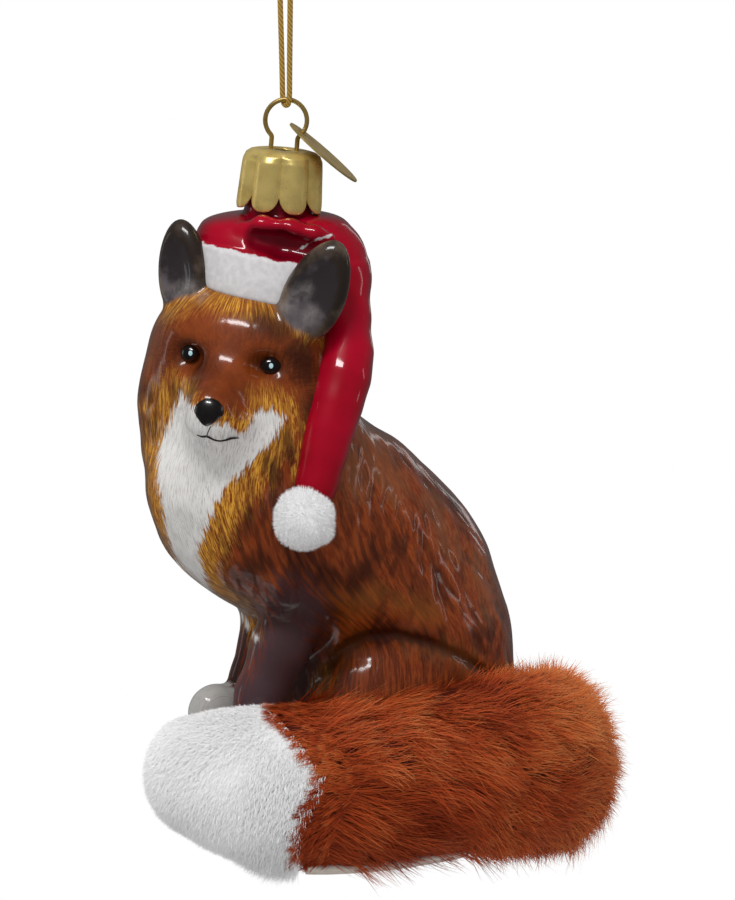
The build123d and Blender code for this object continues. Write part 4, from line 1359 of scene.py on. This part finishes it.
def metalMaterial(name, colour, darker, roughness, size):
    material, tree, shader = newMaterial(name, Metallic=0.6)
    tone = useGroup(tree, unevenTone, Colour=colour, Size=size, Strength=0.2)
    worn = rangeNode(tree, noiseNode(tree, objectSpace(tree), 260.0, 4.0), 0.45, 0.75)
    fill(tree, shader, Base_Color=paintOver(tree, tone["Colour"], (worn, 0.5, darker)),
         Roughness=rangeNode(tree, tone["Tone"], 0.2, 0.8, roughness * 0.8, roughness * 1.3))
    bumpInto(tree, shader, tone["Tone"], 0.15, 0.00005)
    return material


def paintNode(node, material):
    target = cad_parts[node]
    target.data.materials.clear()
    target.data.materials.append(material)


def makeCord():
    turn = azimuth - math.radians(cordShape["bightAngle"])
    places = [np.array([math.cos(turn) * side, math.sin(turn) * side, height]) * mm
              for side, height in cordShape["route"]]
    material = cordMaterial()
    cord, spline = addTube("goldCord", places, cordShape["diameter"], 6, material)
    cord.data.resolution_u = 24
    attach(cord, "cord_loop", "gold_cord", "hanging_cord")
    paintNode("cord_knot", material)


def cordMaterial():
    material, tree, shader = newMaterial("goldCord", Metallic=0.5, Roughness=0.38)
    wave = tree.nodes.new("ShaderNodeTexWave")
    wave.bands_direction = "DIAGONAL"
    fill(tree, wave, Vector=objectSpace(tree), Scale=760.0, Distortion=1.2)
    twist = wave.outputs["Fac"]
    fill(tree, shader, Base_Color=mixColour(tree, rangeNode(tree, twist, 0.2, 0.8), "cord", "cordLight"))
    bumpInto(tree, shader, twist, 0.3, 0.00008)
    return material


capShape = {
    # drops below the ring's top, along the leaning cap, and the radius of a petal's crest there
    "profile": ((8.9, 2.0), (8.92, 4.4), (9.15, 5.6), (9.8, 6.6), (10.8, 7.15), (12.5, 7.3), (15.0, 7.45),
                (17.2, 7.6), (18.3, 7.65), (19.1, 7.5)),
    "petals": 8, "groove": 1.0, "grooveStart": (9.2, 10.6), "notch": 2.6, "notchStart": 16.0, "wall": 0.35,
}


def makeCap(material):
    # Thin metal with a petal between each two grooves, cut round at its foot
    drops, radii = np.array(capShape["profile"]).T
    top = neckPoint(drops[0])
    down = unit(neckPoint(drops[-1]) - top)
    across = unit(np.cross(towardViewer, down))
    spokes, steps = 192, 46
    turns = np.tile(np.arange(spokes) * 2 * math.pi / spokes, steps + 1)
    petal = np.abs(np.sin(turns * capShape["petals"] / 2)) ** 0.75
    drop = drops[0] + (drops[-1] - drops[0]) * np.repeat(np.arange(steps + 1) / steps, spokes) ** 1.3
    drop = drop - capShape["notch"] * (1 - petal) ** 1.4 * ramp(drop, capShape["notchStart"], drops[-1])
    groove = capShape["groove"] * (1 - petal) * ramp(drop, *capShape["grooveStart"])
    points = []
    for inset in (0.0, capShape["wall"]):
        radius = np.maximum(np.interp(drop, drops, radii) - groove - inset, 0.6)
        level = np.maximum(drop, drops[0] + inset) - drops[0]
        points.append(top + down * level[:, None] + across * (np.cos(turns) * radius)[:, None]
                      + np.cross(down, across) * (np.sin(turns) * radius)[:, None])
    outer, inner = np.arange(2 * (steps + 1) * spokes).reshape(2, steps + 1, spokes)
    faces = [gridFaces(outer, True), gridFaces(inner, True)[:, ::-1]]
    for rim in ((inner[0], outer[0]), (outer[-1], inner[-1])):
        faces.append(gridFaces(np.stack(rim), True))
    addPiece("capMetal", np.vstack(points), np.vstack(faces), material, "cap_metal", "ornament_cap",
             body="hanger")


def dressCadNodes():
    makeCap(metalMaterial("capMetal", "cap", "capDark", 0.3, 500.0))
    paintNode("hanger_wire", metalMaterial("wireMetal", "wire", "wireDark", 0.3, 700.0))
    paintNode("hang_tag", metalMaterial("tagMetal", "tag", "tagDark", 0.35, 600.0))
    for node, name in (("tail_glue", "glueDrops"), ("pompom_glue", "pompomGlue")):
        paintNode(node, mottledMaterial(name, "glue", "glueLight", 900.0, bump=(0.3, 0.0001), Roughness=0.25))


# Light, backdrop and floor

studio = {
    # azimuth and elevation of each lamp seen from the fox, distance, width, height, power in watts
    "key": (31.0, 57.0, 0.75, 0.36, 0.10, 2.9),
    "left": (-50.0, 2.0, 0.9, 0.10, 0.4, 0.17),
    "right": (150.0, 9.0, 0.8, 0.05, 0.24, 0.12),
    "rim": (206.0, 14.0, 0.9, 0.08, 0.5, 0.2),
    "skyAbove": 0.76, "skyBelow": 0.52, "frontReflection": 0.04, "backReflection": 0.13,
    "floorDrop": 0.3, "floorRadius": 0.16, "middle": (-5, 0, 70),
}


def makeSky():
    world = bpy.data.worlds.new("studio")
    bpy.context.scene.world = world
    world.use_nodes = True
    tree = world.node_tree
    path = tree.nodes.new("ShaderNodeLightPath").outputs
    direction = tree.nodes.new("ShaderNodeTexCoord").outputs["Generated"]
    height = tree.nodes.new("ShaderNodeSeparateXYZ")
    feed(tree, direction, height.inputs[0])
    soft = rangeNode(tree, height.outputs["Z"], -1.0, 1.0, studio["skyBelow"], studio["skyAbove"], False)
    along = vectorNode(tree, "DOT_PRODUCT", direction)
    along.inputs[1].default_value = tuple(-viewAxis)
    mirrored = rangeNode(tree, along.outputs["Value"], -0.1, 0.9, studio["frontReflection"],
                         studio["backReflection"])
    colour = mixColour(tree, path["Is Glossy Ray"], soft, mirrored)
    colour = mixColour(tree, path["Is Camera Ray"], colour, (1, 1, 1, 1))
    fill(tree, tree.nodes["Background"], Color=colour, Strength=1.0)


def makeLamps():
    for name in ("key", "left", "right", "rim"):
        turn, height, distance, width, length, power = studio[name]
        data = bpy.data.lights.new(name, "AREA")
        data.shape = "RECTANGLE"
        data.size, data.size_y = width, length
        data.energy = power
        lamp = newObject(name, data)
        turn, height = math.radians(turn), math.radians(height)
        direction = np.array([math.sin(turn) * math.cos(height), -math.cos(turn) * math.cos(height),
                              math.sin(height)])
        lamp.location = inMetres(atFox(*studio["middle"])) + direction * distance
        lamp.rotation_euler = Vector(direction).to_track_quat("Z", "Y").to_euler()


def makeFloor():
    spokes = 64
    turns = np.arange(spokes) * 2 * math.pi / spokes
    level = np.full(spokes, cadBounds[0][2] - studio["floorDrop"])
    radius = studio["floorRadius"]
    rim = np.stack([np.cos(turns) * radius, np.sin(turns) * radius, level], axis=1)
    data = bpy.data.meshes.new("paleFloor")
    data.from_pydata(rim.tolist(), [], [tuple(range(spokes))])
    data.materials.append(mottledMaterial("paleFloor", "floor", "floorLight", 6.0, Roughness=0.9))
    newObject("paleFloor", data)


makeCord()
dressCadNodes()
makeFox()
makeHat()
makeEyes()
makeNose()
makeMouth()
makeTailFur()
makeBacking()
makeTipFur()
makePompom()
makeSky()
makeLamps()
makeFloor()

bpy.context.scene.view_settings.view_transform = "Standard"
